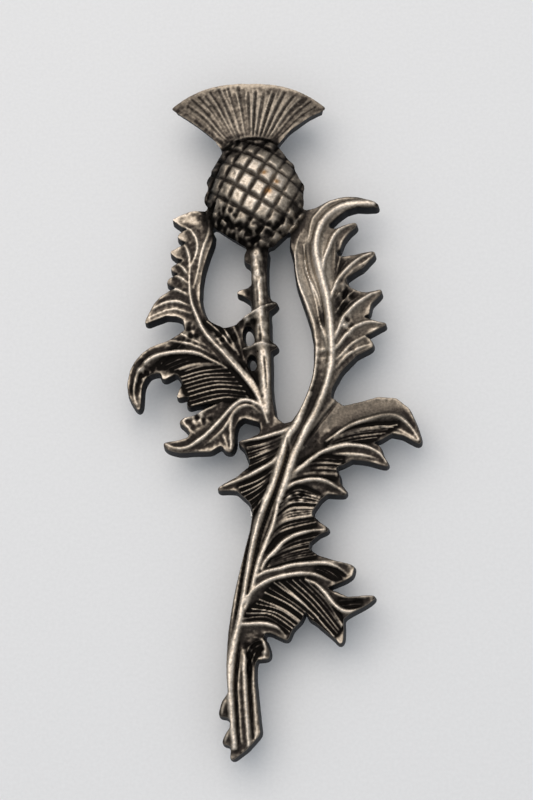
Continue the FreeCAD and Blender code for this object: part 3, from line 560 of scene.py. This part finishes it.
# the skin that is pressed over the body and the pattern, in mm
skin = {
    "step": 0.15,           # between its points
    "margin": 0.6,
    "dropFrom": 30.0,       # above everything that is pressed
    "topStarts": 6.9,       # the CAD's crown is above this and its walls are below
    "outlineBlur": 0.17, "outlineLevel": 0.5,
    "shortest": 0.15,       # least share of a cell's side that a cut leaves
    "bodyBlur": 0.65,       # smooths the CAD's facets under the drawn relief
    "backHeight": 5.0, "edgeHeight": 7.0,
    "sharpEdge": 55,        # degrees
    "seed": 11,
}


def pressTree():
    # drops the points of a flat sheet onto a pattern; one that misses stays up
    tree, given = newTree("pressSheet", (("Pattern", "Object"), ("Metal", "Material")))
    pattern = addNode(tree, "GeometryNodeObjectInfo", None, {"Object": given["Pattern"]})
    hit = addNode(tree, "GeometryNodeRaycast", None, {
        "Target Geometry": pattern.outputs["Geometry"], "Ray Direction": (0, 0, -1),
        "Ray Length": 1.0})
    dropped = addNode(tree, "GeometryNodeSetPosition", None, {
        0: given["Geometry"], "Selection": hit.outputs["Is Hit"],
        "Position": hit.outputs["Hit Position"]})
    finishTree(tree, dropped.outputs[0], given["Metal"])
    return tree


def pressOn(pattern, x, y):
    # the height in mm of the highest point of a pattern at each place, or 0 beside it
    start = skin["dropFrom"] * mm
    points = np.stack([x.ravel() * mm, y.ravel() * mm, np.full(x.size, start)], 1)
    sheet = bpy.data.meshes.new("sheet")
    sheet.vertices.add(len(points))
    sheet.vertices.foreach_set("co", points.ravel())
    pressed = runTree("sheet", trees["press"], sheet, {"Pattern": pattern})
    places = np.empty(3 * len(points), np.float32)
    pressed.vertices.foreach_get("co", places)
    heights = places[2::3].astype(float).reshape(x.shape)
    return np.where(heights > start - 1e-6, 0.0, heights / mm)


def pressPattern(name, mesh, x, y):
    pattern = addObject(name, mesh)
    heights = pressOn(pattern, x, y)
    bpy.data.objects.remove(pattern)
    return heights


def shifts(field, reach, axis):
    # the field moved along an axis by every number of steps up to reach, edges held
    padded = np.pad(field, [(reach, reach) if a == axis else (0, 0) for a in (0, 1)], "edge")
    size = field.shape[axis]
    for k in range(2 * reach + 1):
        yield np.take(padded, range(k, k + size), axis)


def blur(field, sigma):
    # a Gaussian blur, sigma in grid steps
    reach = max(1, int(3 * sigma + 0.5))
    weights = np.exp(-0.5 * (np.arange(-reach, reach + 1) / sigma) ** 2)
    weights /= weights.sum()
    for axis in (0, 1):
        field = sum(w * moved for w, moved in zip(weights, shifts(field, reach, axis)))
    return field


def spread(field, reach, pick):
    # the highest or lowest value within a square around each point
    for axis in (0, 1):
        best = field
        for moved in shifts(field, reach, axis):
            best = pick(best, moved)
        field = best
    return field


def ramp(field, low, high):
    # 0 below low, 1 above high and smooth between them
    share = np.clip((field - low) / (high - low), 0, 1)
    return share * share * (3 - 2 * share)


trees = {"sweep": sweepTree(), "scales": scaleTree(), "pits": pitTree(), "press": pressTree()}


# where the outline departs from the CAD's, in mm
outline = {
    # two small windows beside the stem: x, y, half width, half height and lean
    "windows": ((-3.36, 10.65, 0.98, 1.75, -0.10), (-2.88, 6.68, 0.84, 1.30, -0.08)),
    # the CAD's straight-sided windows are filled this far around the ovals
    "fillOval": 2.2, "fillAcross": 1.3, "fillAlong": 0.4, "fillHeight": 7.0,
    # the slit between the left leaf and its sub-leaf: x, y, half length, half height and slope
    "slit": (-11.5, -0.3, 2.0, 0.8, 0.33),
    # the knob at the stem's top, and scales that stick out: x, y, half width and half height
    "knobs": ((-3.1, 22.75, 0.9, 1.15), (-8.75, 34.3, 0.9, 1.0), (-9.2, 31.6, 0.8, 1.1),
              (-7.6, 36.2, 0.9, 0.9), (2.6, 36.0, 0.8, 1.0), (4.0, 33.0, 0.8, 1.1)),
    "knobHeight": 7.2,
}

# places with a torn, pitted ground: x, y, reach across and along, share
ragged = ((-6.9, 10.7, 1.6, 1.4, 1.0), (-10.4, -1.6, 1.6, 1.0, 0.6), (3.8, -13.2, 1.8, 0.8, 1.0),
          (10.4, 17.0, 1.2, 2.4, 1.0), (10.8, 11.8, 1.0, 1.6, 1.0), (-3.4, 12.9, 1.2, 0.8, 1.0),
          (-2.6, -35.0, 1.4, 1.2, 1.0), (-11.9, 11.0, 1.2, 1.6, 0.7), (-18.6, 5.4, 0.9, 2.2, 0.8),
          (-1.8, 20.5, 1.1, 3.0, 0.4), (-1.5, 11.5, 0.9, 5.0, 0.3), (7.4, 7.2, 1.0, 3.0, 0.35))

# the grid, and four places in each of its cells
step = skin["step"]
low, high = [np.array(corner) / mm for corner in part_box("thistle_casting")]
xs = np.arange(low[0] - skin["margin"], high[0] + skin["margin"], step)
ys = np.arange(low[1] - skin["margin"], high[1] + skin["margin"], step)
quarter = np.array([-0.25, 0.25]) * step
fineX, fineY = np.meshgrid((xs[:, None] + quarter).ravel(), (ys[:, None] + quarter).ravel())
gridX, gridY = np.meshgrid(xs, ys)


def gather(field):
    # the mean of the four places in each cell
    return field.reshape(len(ys), 2, len(xs), 2).mean((1, 3))


def nearPlace(x, y, across, along, power=2):
    # 1 at a place on the face, down to 0 away from it
    return np.exp(-((gridX - x) / across) ** power - ((gridY - y) / along) ** power)


bodyTop = pressOn(casting, fineX, fineY)
onTop = (bodyTop > skin["topStarts"]).astype(float)
for x, y, across, along, lean in outline["windows"]:
    dx = fineX - x - lean * (fineY - y)
    oval = (dx / across) ** 2 + ((fineY - y) / along) ** 2
    filled = ((oval < outline["fillOval"]) & (np.abs(fineX - x) < outline["fillAcross"])
              & (np.abs(fineY - y) < along + outline["fillAlong"]))
    bodyTop[filled & (bodyTop < skin["topStarts"])] = outline["fillHeight"]
    onTop[filled] = 1.0
    onTop[oval < 1] = 0.0
x, y, along, across, slope = outline["slit"]
dx, dy = fineX - x, fineY - y
onTop[(dx / along) ** 2 + ((dy - slope * dx) / across) ** 2 < 1] = 0.0
for x, y, across, along in outline["knobs"]:
    knob = ((fineX - x) / across) ** 2 + ((fineY - y) / along) ** 2 < 1
    bodyTop[knob & (bodyTop < skin["topStarts"])] = outline["knobHeight"]
    onTop[knob] = 1.0
cover = gather(onTop)
inside = blur(cover, skin["outlineBlur"] / step)
weight = blur(cover, skin["bodyBlur"] / step)
body = blur(gather(bodyTop * onTop), skin["bodyBlur"] / step) / np.maximum(weight, 1e-6)
body = np.where(weight > 1e-5, body, skin["edgeHeight"])
print("body sampled", gridX.shape)


# the bulb's scales, drawn flat and pressed so that they close up towards its edge
rowY, rowLeft, rowRight = np.array(bulb["rows"]).T
leftEdge, rightEdge = np.interp(fineY, rowY, rowLeft), np.interp(fineY, rowY, rowRight)
inRows = (fineX > leftEdge) & (fineX < rightEdge) & (fineY > rowY[0]) & (fineY < rowY[-1])
domeX, domeY = fineX - bulb["middle"][0], fineY - bulb["middle"][1]
domeR = bulb["bend"] * np.hypot(domeX / bulb["halfWidth"], domeY / bulb["halfHeight"])
opened = np.arcsin(np.clip(domeR, 0, 0.98)) / np.maximum(domeR, 1e-6)
sheetX = domeX * opened + bulb["middle"][0] - bulb["anchor"][0]
sheetY = domeY * opened + bulb["middle"][1] - bulb["anchor"][1]
scaleMesh = runTree("bulbScales", trees["scales"], bpy.data.meshes.new("none"), {
    "Rise": bulb["rise"] * mm, "Foot Share": bulb["footShare"], "Top Share": bulb["topShare"],
    "Rows": bulb["gridRows"], "Along Row": [c * mm for c in (*bulb["alongRow"], 0)],
    "Across Row": [c * mm for c in (*bulb["acrossRow"], 0)], "Seed": bulb["seed"]})
scales = pressPattern("bulbScales", scaleMesh, sheetX, sheetY)
bulbMask = blur(gather(inRows.astype(float)), bulb["edgeBlur"] / step)
scaleField = blur(gather(scales), bulb["round"] / step) * bulbMask
print("bulb", len(scaleMesh.polygons), "scale faces")


# how the pressed patterns are laid on the body, in mm
carving = {
    "barSides": 12, "barStep": 0.3,
    # the left leaf's web has wide lines with soft tops, and the others are fine and close
    "softWebX": (1.0, 3.0), "softWebY": (-3.0, -1.0),
    "softGain": 1.3, "softBlur": 0.8, "fineGain": 1.12, "fineBlur": 0.5,   # blurs in grid steps
    "rimRise": 0.1, "rimReach": 0.4, "rimFades": (0.62, 0.97),   # thin raised border of the leaves
    # a rib keeps this much of its crest, and its foot runs out softly
    "fullRib": 0.6, "crestShare": 0.62, "footShare": 1.25, "footReach": 0.6,
    "leafSwell": 0.3, "plumeSwell": 0.8,    # share of the body's rise that is kept there
    "plumeStarts": (36.0, 39.0), "bulbBlend": 0.5,
    # the lined webs lie lower than the ribs and end at their feet
    "webReach": 0.45, "webDepth": 0.22, "webGain": 1.5, "leastLine": 0.02,
    "webFades": (0.15, 0.5), "fanFades": (0.3, 0.62),
    # the bulb's outer scales are ragged, most of all below
    "ragMiddle": (-1.7, 32.8), "ragRadius": 7.4, "ragStarts": (0.55, 1.0), "ragBelow": 31.0,
    "ragAbove": 0.5,
    "ruffle": 0.16, "tornBlur": 1.5, "tornGain": 5.3,
    "smooth": 0.08,
    "grain": 0.018, "grainBlur": 1.0, "grainGain": 3,    # unevenness of the cast skin
}

# the ribs and the cuts
rng = np.random.default_rng(skin["seed"])
ribs = [(lineKinds[kind]["width"], lineKinds[kind]["rise"], lineKinds[kind]["ends"], path)
        for kind, *path in leafLines]
fans = fanLines(leafFans, rng)
flutes, hairs = plumeLines(rng)
cuts = [(width, depth, cutEnds, path) for width, depth, *path in leafCuts]


def pressLines(name, lines):
    mesh = runTree(name, trees["sweep"], lineMesh(name, lines),
                   {"Sides": carving["barSides"], "Step": carving["barStep"] * mm})
    print(name, len(lines), "lines,", len(mesh.polygons), "faces")
    return gather(pressPattern(name, mesh, fineX, fineY))


ribField = pressLines("ribs", ribs) * (1 - bulbMask)
fanField = pressLines("fans", fans) * (1 - bulbMask)
softWeb = ramp(-gridX, *carving["softWebX"]) * ramp(gridY, *carving["softWebY"])
fanField = (carving["softGain"] * softWeb * blur(fanField, carving["softBlur"])
            + carving["fineGain"] * (1 - softWeb) * blur(fanField, carving["fineBlur"]))
hairField = pressLines("plumeHairs", hairs) * (1 - bulbMask)
cutField = pressLines("cuts", cuts)
fluteField = pressLines("flutes", flutes) * (1 - bulbMask)


# pits all over the cast skin
pitMesh = runTree("castPits", trees["pits"], plateMesh("plate", low * mm, high * mm), {
    "Density": pits["perSquareMm"] / mm ** 2, "Smallest": pits["radius"][0] * mm,
    "Largest": pits["radius"][1] * mm, "Flatness": pits["flatness"], "Seed": pits["seed"]})
pitField = gather(pressPattern("castPits", pitMesh, fineX, fineY))
print("pits", len(pitMesh.polygons), "faces")

# the relief
edge = blur(cover, carving["rimReach"] / step)
rimField = carving["rimRise"] * (1 - ramp(edge, *carving["rimFades"])) * (1 - bulbMask)
sharp = ribField * np.clip(ribField / carving["fullRib"], 0, 1) ** 0.5
foot = blur(ribField, carving["footReach"] / step)
ribField = carving["crestShare"] * sharp + carving["footShare"] * foot
swell = carving["leafSwell"] + (carving["plumeSwell"] - carving["leafSwell"]) * ramp(
    gridY, *carving["plumeStarts"])
swell += (1 - swell) * blur(bulbMask, carving["bulbBlend"] / step)
body = skin["edgeHeight"] + (body - skin["edgeHeight"]) * swell
lined = (fanField > carving["leastLine"]) * 1.0
web = np.clip(carving["webGain"] * blur(lined, carving["webReach"] / step), 0, 1)
web *= 1 - ramp(ribField, *carving["webFades"])
fromMiddle = np.hypot((gridX - carving["ragMiddle"][0]) / carving["ragRadius"],
                      (gridY - carving["ragMiddle"][1]) / carving["ragRadius"])
rough = bulbMask * ramp(fromMiddle, *carving["ragStarts"])
rough *= np.where(gridY < carving["ragBelow"], 1.0, carving["ragAbove"])
for x, y, across, along, share in ragged:
    rough = np.maximum(rough, share * nearPlace(x, y, across, along))
lines = np.maximum(ribField, hairField) - carving["webDepth"] * web
lines += fanField * (1 - ramp(ribField, *carving["fanFades"]))
relief = lines + rimField + scaleField - cutField - fluteField
torn = blur(rng.normal(0, 1, relief.shape), carving["tornBlur"]) * carving["tornGain"]
relief += carving["ruffle"] * rough * torn
relief = blur(relief - pits["depthShare"] * pitField, carving["smooth"] / step)
grain = blur(rng.normal(0, 1, relief.shape), carving["grainBlur"])
relief += carving["grain"] * grain * carving["grainGain"]
top = body + relief


# the skin: quads where all of a cell is inside, and cut cells along the outline
def skinMesh(attributes):
    level, shortest = skin["outlineLevel"], skin["shortest"]
    kept = inside > level
    index = np.full(inside.shape, -1)
    count = int(kept.sum())
    index[kept] = np.arange(count)
    cell = kept[:-1, :-1] * 1 + kept[:-1, 1:] * 1 + kept[1:, 1:] * 1 + kept[1:, :-1] * 1
    i, j = np.nonzero(cell == 4)
    faces = np.stack([index[i, j], index[i, j + 1], index[i + 1, j + 1], index[i + 1, j]], 1).tolist()
    fields = (gridX, gridY, top, *attributes.values())
    crossings, extra = {}, []

    def crossing(a, b):
        # the point where the outline crosses a side, with the mix of its two ends
        a, b = min(a, b), max(a, b)
        if (a, b) not in crossings:
            share = (level - inside[a]) / (inside[b] - inside[a])
            share = min(1 - shortest, max(shortest, share))
            crossings[a, b] = count + len(extra)
            extra.append([field[a] + (field[b] - field[a]) * share for field in fields])
        return crossings[a, b]

    for i, j in zip(*np.nonzero((cell > 0) & (cell < 4))):
        corners = ((i, j), (i, j + 1), (i + 1, j + 1), (i + 1, j))
        ring = []
        for here, there in zip(corners, corners[1:] + corners[:1]):
            if kept[here]:
                ring.append(int(index[here]))
            if kept[here] != kept[there]:
                ring.append(crossing(here, there))
        faces.append(ring)
    values = np.concatenate([np.stack([field[kept] for field in fields], 1), extra])
    return values[:, :3], faces, dict(zip(attributes, values[:, 3:].T))


def sampleAt(field, x, y):
    # bilinear reading of a grid field at places given in mm
    column = np.clip((x - xs[0]) / step, 0, len(xs) - 1.001)
    row = np.clip((y - ys[0]) / step, 0, len(ys) - 1.001)
    j, i = column.astype(int), row.astype(int)
    fx, fy = column - j, row - i
    return ((field[i, j] * (1 - fx) + field[i, j + 1] * fx) * (1 - fy)
            + (field[i + 1, j] * (1 - fx) + field[i + 1, j + 1] * fx) * fy)


# the walls under the outline, in mm
walls = {
    "rings": ((0.06, 0.08, 0.25), (0.16, 0.6, 0.85), (0.34, None, 1.0)),   # outwards, down, and the painted shade of each ring of the walls, also added to the patina's darkness
    "part": 0.05,           # each ring is moved out in parts of about this
    "blur": 0.3, "fullSlope": 0.4,
    # how much less far the walls lean out at the plume and at the bulb, and where
    "plumeLess": 2.6, "plumeStarts": (38.5, 40.5),
    "bulbLess": 2.2, "bulbStarts": (0.1, 0.4), "bulbBlur": 0.4,
}


def closeSkin(name, points, faces, marks):
    # adds the drafted walls and the flat back under the top's outline
    ahead = {}
    seen = set()
    for face in faces:
        seen.update(zip(face, face[1:] + face[:1]))
    for a, b in seen:
        if (b, a) not in seen:
            ahead[a] = b
    rim = np.array(sorted(ahead))
    slot = {int(a): k for k, a in enumerate(rim)}
    follower = np.array([slot[ahead[int(a)]] for a in rim])
    leader = np.argsort(follower)
    soft = blur(cover, walls["blur"] / step)
    slopeY, slopeX = np.gradient(soft, step)
    place = points[rim].copy()
    topZ = place[:, 2].copy()
    above = rim
    lean = 1 - walls["plumeLess"] * ramp(place[:, 1], *walls["plumeStarts"])
    nearBulb = sampleAt(blur(bulbMask, walls["bulbBlur"] / step), place[:, 0], place[:, 1])
    lean -= walls["bulbLess"] * ramp(nearBulb, *walls["bulbStarts"])
    gone = 0.0
    allPoints, allFaces = [points], list(faces)
    allMarks = {label: [values] for label, values in marks.items()}
    total = len(points)
    for out, down, shade in walls["rings"]:
        parts = max(1, round((out - gone) / walls["part"]))
        for _ in range(parts):
            gx = sampleAt(slopeX, place[:, 0], place[:, 1])
            gy = sampleAt(slopeY, place[:, 0], place[:, 1])
            size = np.hypot(gx, gy)
            move = (out - gone) / parts * np.minimum(1, size / walls["fullSlope"])
            move *= lean / np.maximum(size, 1e-6)
            place[:, 0] -= gx * move
            place[:, 1] -= gy * move
            # evens out the ring, so that a narrow notch doesn't fold over itself
            place[:, :2] = 0.5 * place[:, :2] + 0.25 * (place[follower, :2] + place[leader, :2])
        gone = out
        place[:, 2] = skin["backHeight"] if down is None else topZ - down
        below = np.arange(total, total + len(rim))
        for a, b in ahead.items():
            a, b = slot[a], slot[b]
            allFaces.append([int(above[a]), int(below[a]), int(below[b]), int(above[b])])
        allPoints.append(place.copy())
        # painted shade: each ring of the walls gets its darkness, both as wall shade and in the patina's
        # darkness
        for label, values in allMarks.items():
            values.append(np.full(len(rim), 0.0 if label == "stain" else shade))
        above = below
        total += len(rim)
    mesh = bpy.data.meshes.new(name)
    mesh.from_pydata((np.concatenate(allPoints) * mm).tolist(), [], allFaces)
    for label, values in allMarks.items():
        mesh.attributes.new(label, "FLOAT", "POINT").data.foreach_set("value", np.concatenate(values))
    whole = bmesh.new()
    whole.from_mesh(mesh)
    bmesh.ops.triangle_fill(whole, use_beauty=True, edges=[e for e in whole.edges if e.is_boundary])
    bmesh.ops.recalc_face_normals(whole, faces=whole.faces)
    print("skin", len(whole.verts), "points,", sum(len(f.verts) - 2 for f in whole.faces),
          "triangles, open edges", sum(not e.is_manifold for e in whole.edges))
    whole.to_mesh(mesh)
    whole.free()
    mesh.polygons.foreach_set("use_smooth", [True] * len(mesh.polygons))
    mesh.set_sharp_from_angle(angle=math.radians(skin["sharpEdge"]))
    return mesh


# places rubbed bright when the patina was cleaned off: x, y, reach across and along, share.
# One below zero stayed dull
polished = ((6.4, 20.0, 4.5, 9.5, 0.85), (9.5, 29.3, 4.5, 1.8, 0.45), (8.2, 7.0, 1.6, 4.5, 0.45),
            (-9.8, 22.0, 1.2, 6.0, 0.4), (-2.8, 22.8, 1.0, 1.0, 0.6), (13.5, 15.0, 3.0, 8.0, 0.35),
            (-9.5, 4.0, 4.0, 3.0, -0.14), (-4.8, 9.2, 2.2, 3.5, 0.5), (-4.4, -38.0, 1.8, 9.0, 0.08),
            (-2.6, -25.0, 2.0, 8.0, 0.15), (1.6, -8.0, 1.6, 7.0, 0.3))
# places with an even, dull satin: x, y, reach across and along
satin = ((13.3, -0.6, 5.6, 1.6), (9.0, -2.2, 2.6, 1.2))
# amber stains on the bulb: x, y, radius
stains = ((-0.2, 31.7, 0.5), (0.9, 33.1, 0.4), (-0.9, 34.5, 0.4))

# how dark the patina and the painted shade are by place, from 0 on a bare crest to 1 in the blackest recess,
# with lengths in mm
patinaAndShadeLook = {
    "nearSteps": 3, "nearBlur": 1.0,                # in grid steps
    "leastSwing": 0.12, "fullSwing": 0.2, "leastGroove": 0.2, "grooveStarts": (0.15, 0.95),
    "groove": 0.62, "bulbSpares": 0.22,
    "farReach": 1.3, "farBlur": 0.7, "farDepth": 0.8, "far": 0.24,
    "satin": 0.38, "satinClears": 0.85, "satinPower": 4,
    "web": 0.85, "webSpares": 0.95, "webLines": (0.085, 0.29),
    "plumeStarts": (39.5, 41.0), "plume": 0.13, "plumeClears": 0.35,
    # painted shade on the plume's sides, growing from its middle out over this reach
    "plumeSideShade": 0.25, "plumeMiddle": -3.2, "plumeReach": 11,
    # on the bulb: a slight darkening all over, and painted shade towards its rim
    "bulb": 0.04, "domeEdgeShade": 0.5, "domeEdgeShadeStarts": (0.4, 1.1),
    "scaleFeet": 0.12, "scaleFeetEnd": (0.02, 0.2),
    "torn": 0.38, "tornClears": 0.8,
    "darkest": 1.3,
}

# how deep each place lies below what is near it, which is where the patina stays
nearTop = blur(spread(top, patinaAndShadeLook["nearSteps"], np.maximum), patinaAndShadeLook["nearBlur"])
nearLow = blur(spread(top, patinaAndShadeLook["nearSteps"], np.minimum), patinaAndShadeLook["nearBlur"])
farTop = blur(spread(top, round(patinaAndShadeLook["farReach"] / step), np.maximum), patinaAndShadeLook["farBlur"] / step)
swing = nearTop - nearLow
groove = ramp((nearTop - top) / np.maximum(swing, patinaAndShadeLook["leastSwing"]), *patinaAndShadeLook["grooveStarts"])
groove *= np.clip(swing / patinaAndShadeLook["fullSwing"], patinaAndShadeLook["leastGroove"], 1)
patinaAndShade = patinaAndShadeLook["groove"] * groove * (1 - patinaAndShadeLook["bulbSpares"] * bulbMask)
patinaAndShade += (1 - bulbMask) * patinaAndShadeLook["far"] * (farTop - top) / patinaAndShadeLook["farDepth"]
for place in satin:
    near = nearPlace(*place, patinaAndShadeLook["satinPower"])
    patinaAndShade += near * (patinaAndShadeLook["satin"] - patinaAndShadeLook["satinClears"] * patinaAndShade)
patinaAndShade += patinaAndShadeLook["web"] * web * (1 - patinaAndShadeLook["webSpares"] * ramp(fanField, *patinaAndShadeLook["webLines"]))
# painted shade: the plume darkens towards its left and right sides
sideShade = np.minimum(1, np.abs(gridX - patinaAndShadeLook["plumeMiddle"]) / patinaAndShadeLook["plumeReach"]) ** 2
patinaAndShade += ramp(gridY, *patinaAndShadeLook["plumeStarts"]) * (
    patinaAndShadeLook["plume"] - patinaAndShadeLook["plumeClears"] * patinaAndShade + patinaAndShadeLook["plumeSideShade"] * sideShade)
# painted shade: the bulb darkens towards its rim, most at the lower left
outer = ramp(fromMiddle, *patinaAndShadeLook["domeEdgeShadeStarts"])
patinaAndShade += bulbMask * (patinaAndShadeLook["bulb"] + patinaAndShadeLook["domeEdgeShade"] * outer)
patinaAndShade += bulbMask * patinaAndShadeLook["scaleFeet"] * (1 - ramp(scaleField, *patinaAndShadeLook["scaleFeetEnd"]))
patinaAndShade += rough * (patinaAndShadeLook["torn"] * np.clip(-torn, -patinaAndShadeLook["tornClears"], 1))
for x, y, across, along, amount in polished:
    near = nearPlace(x, y, across, along)
    patinaAndShade = patinaAndShade * (1 - max(amount, 0) * near) + max(-amount, 0) * near
patinaAndShade = np.clip(patinaAndShade, 0, patinaAndShadeLook["darkest"])
stain = np.zeros_like(top)
for x, y, radius in stains:
    stain = np.maximum(stain, nearPlace(x, y, radius, radius))

points, faces, marks = skinMesh({"patinaAndShade": patinaAndShade, "stain": stain, "paintedWallShade": np.zeros_like(top)})
castThistle = addObject("castThistle", closeSkin("castThistle", points, faces, marks))


def newMaterial(name):
    material = bpy.data.materials.new(name)
    material.use_nodes = True
    tree = material.node_tree
    tree.nodes.clear()
    shader = addNode(tree, "ShaderNodeBsdfPrincipled")
    addNode(tree, "ShaderNodeOutputMaterial", None, {"Surface": shader.outputs[0]})
    return material, tree, shader


def metalFinish(tree, shader, color, tone, grain, look):
    # bare metal: a roughness that follows the tone, and a fine relief
    rough = addNode(tree, "ShaderNodeMapRange", None,
                    {0: tone, 3: look["roughness"][0], 4: look["roughness"][1]})
    bump = addNode(tree, "ShaderNodeBump", None, {
        "Height": grain, "Strength": look["bump"], "Distance": look["bumpDepth"] * mm})
    shader.inputs["Metallic"].default_value = 1.0
    for label, socket in (("Base Color", color), ("Roughness", rough.outputs[0]),
                          ("Normal", bump.outputs[0])):
        tree.links.new(socket, shader.inputs[label])


# sizes in mm, and the tones of the patina and the painted shade from the crests to the hollows
pewter = {
    "roughness": (0.42, 0.64), "bump": 0.6, "bumpDepth": 0.05,
    "grainSize": 0.3, "grainShare": 0.34, "blotchSize": 3.0, "blotchShare": 0.2, "toneShift": 0.23,
    "shades": ((0.0, "#d3c8ba"), (0.16, "#a39889"), (0.4, "#6a6258"), (0.65, "#35302c"),
               (0.95, "#151311")),
    # the amber of the stains, and the painted shade of the side walls
    "amber": "#8f6a40", "paintedWallShade": "#282a2e",
}


def antiquedPewter():
    # cast pewter, blackened and then rubbed: bright warm crests, black hollows and a
    # fine grain left by the mould, which breaks up every highlight. The side walls get a painted shade
    material, tree, shader = newMaterial("antiquedPewter")
    place = addNode(tree, "ShaderNodeTexCoord").outputs["Object"]
    patinaAndShade, stain, paintedWallShade = [
        addNode(tree, "ShaderNodeAttribute", {"attribute_name": label}).outputs["Fac"]
        for label in ("patinaAndShade", "stain", "paintedWallShade")]
    grain = addNode(tree, "ShaderNodeTexNoise", None, {
        "Vector": place, "Scale": 1 / (pewter["grainSize"] * mm), "Detail": 3.0})
    blotch = addNode(tree, "ShaderNodeTexNoise", None, {
        "Vector": place, "Scale": 1 / (pewter["blotchSize"] * mm), "Detail": 4.0})
    grained = addNode(tree, "ShaderNodeMath", {"operation": "MULTIPLY_ADD"},
                      {0: grain.outputs[0], 1: pewter["grainShare"], 2: patinaAndShade})
    blotched = addNode(tree, "ShaderNodeMath", {"operation": "MULTIPLY_ADD"},
                       {0: blotch.outputs[0], 1: pewter["blotchShare"], 2: grained.outputs[0]})
    tone = addNode(tree, "ShaderNodeMath", {"operation": "SUBTRACT", "use_clamp": True},
                   {0: blotched.outputs[0], 1: pewter["toneShift"]}).outputs[0]
    color = addNode(tree, "ShaderNodeValToRGB", None, {0: tone}, pewter["shades"])
    stained = addNode(tree, "ShaderNodeMix", {"data_type": "RGBA"},
                      {0: stain, 6: color.outputs[0], 7: hexColor(pewter["amber"])})
    # painted shade: the side walls are darkened to a bluish black
    shadedWalls = addNode(tree, "ShaderNodeMix", {"data_type": "RGBA"},
                    {0: paintedWallShade, 6: stained.outputs[2], 7: hexColor(pewter["paintedWallShade"])})
    metalFinish(tree, shader, shadedWalls.outputs[2], tone, grain.outputs[0], pewter)
    return material


# sizes in mm; the lines run along the wire and are this many times finer across it
steel = {
    "roughness": (0.32, 0.45), "bump": 0.2, "bumpDepth": 0.02,
    "lineLength": 1.2, "fineness": 8.0, "shades": ((0.3, "#8f8f8d"), (0.7, "#bcbbb8")),
}


def satinSteel():
    # drawn steel wire and pressed feet, rubbed satin: even grey with short fine lines
    material, tree, shader = newMaterial("satinSteel")
    place = addNode(tree, "ShaderNodeTexCoord").outputs["Object"]
    along = addNode(tree, "ShaderNodeMapping", None, {
        "Vector": place, "Scale": (steel["fineness"], 1.0, steel["fineness"])})
    lines = addNode(tree, "ShaderNodeTexNoise", None, {
        "Vector": along.outputs[0], "Scale": 1 / (steel["lineLength"] * mm), "Detail": 2.0}).outputs[0]
    color = addNode(tree, "ShaderNodeValToRGB", None, {0: lines}, steel["shades"])
    metalFinish(tree, shader, color.outputs[0], lines, lines, steel)
    return material


# the pale card that the pin lies on
floorLook = {
    "shades": ((0.3, "#dcdddd"), (0.7, "#e0e1e1")), "roughness": 0.9, "specular": 0.2,
    "tooth": 0.5,       # mm
    "reach": 600.0,     # mm from the middle to each side
}


def matteCard():
    # pale uncoated card: no gloss, a faint tooth
    material, tree, shader = newMaterial("matteCard")
    place = addNode(tree, "ShaderNodeTexCoord").outputs["Object"]
    tooth = addNode(tree, "ShaderNodeTexNoise", None, {
        "Vector": place, "Scale": 1 / (floorLook["tooth"] * mm), "Detail": 2.0})
    color = addNode(tree, "ShaderNodeValToRGB", None, {0: tooth.outputs[0]}, floorLook["shades"])
    tree.links.new(color.outputs[0], shader.inputs["Base Color"])
    shader.inputs["Roughness"].default_value = floorLook["roughness"]
    shader.inputs["Specular IOR Level"].default_value = floorLook["specular"]
    return material


castThistle.data.materials.append(antiquedPewter())
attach(castThistle, "root")
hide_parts("thistle_casting")

pinBack.data.materials.clear()
pinBack.data.materials.append(satinSteel())

reach = floorLook["reach"] * mm
table = addObject("table", plateMesh("table", (-reach, -reach), (reach, reach)))
table.data.materials.append(matteCard())

# a pale studio all around, and one soft panel; places in metres
light = {
    "sky": ((0.15, "#77787b"), (0.75, "#eaeef4")), "skyStrength": 0.97,    # horizon to top
    "keyPlace": (-0.08, 0.16, 0.47), "keySize": 0.5, "keyWatts": 1.2, "keyColor": "#fff4ea",
}


def addLights():
    world = bpy.data.worlds.new("paleStudio")
    bpy.context.scene.world = world
    world.use_nodes = True
    tree = world.node_tree
    tree.nodes.clear()
    direction = addNode(tree, "ShaderNodeTexCoord").outputs["Generated"]
    height = addNode(tree, "ShaderNodeSeparateXYZ", None, {0: direction}).outputs["Z"]
    color = addNode(tree, "ShaderNodeValToRGB", None, {0: height}, light["sky"])
    background = addNode(tree, "ShaderNodeBackground", None,
                         {"Color": color.outputs[0], "Strength": light["skyStrength"]})
    addNode(tree, "ShaderNodeOutputWorld", None, {"Surface": background.outputs[0]})
    data = bpy.data.lights.new("keyPanel", "AREA")
    data.shape = "DISK"
    data.size = light["keySize"]
    data.energy = light["keyWatts"]
    data.color = hexColor(light["keyColor"])[:3]
    place = Vector(light["keyPlace"])
    turn = place.to_track_quat("Z", "Y").to_matrix().to_4x4()
    addObject("keyPanel", data).matrix_world = Matrix.Translation(place) @ turn


addLights()
bpy.context.scene.view_settings.view_transform = "Standard"
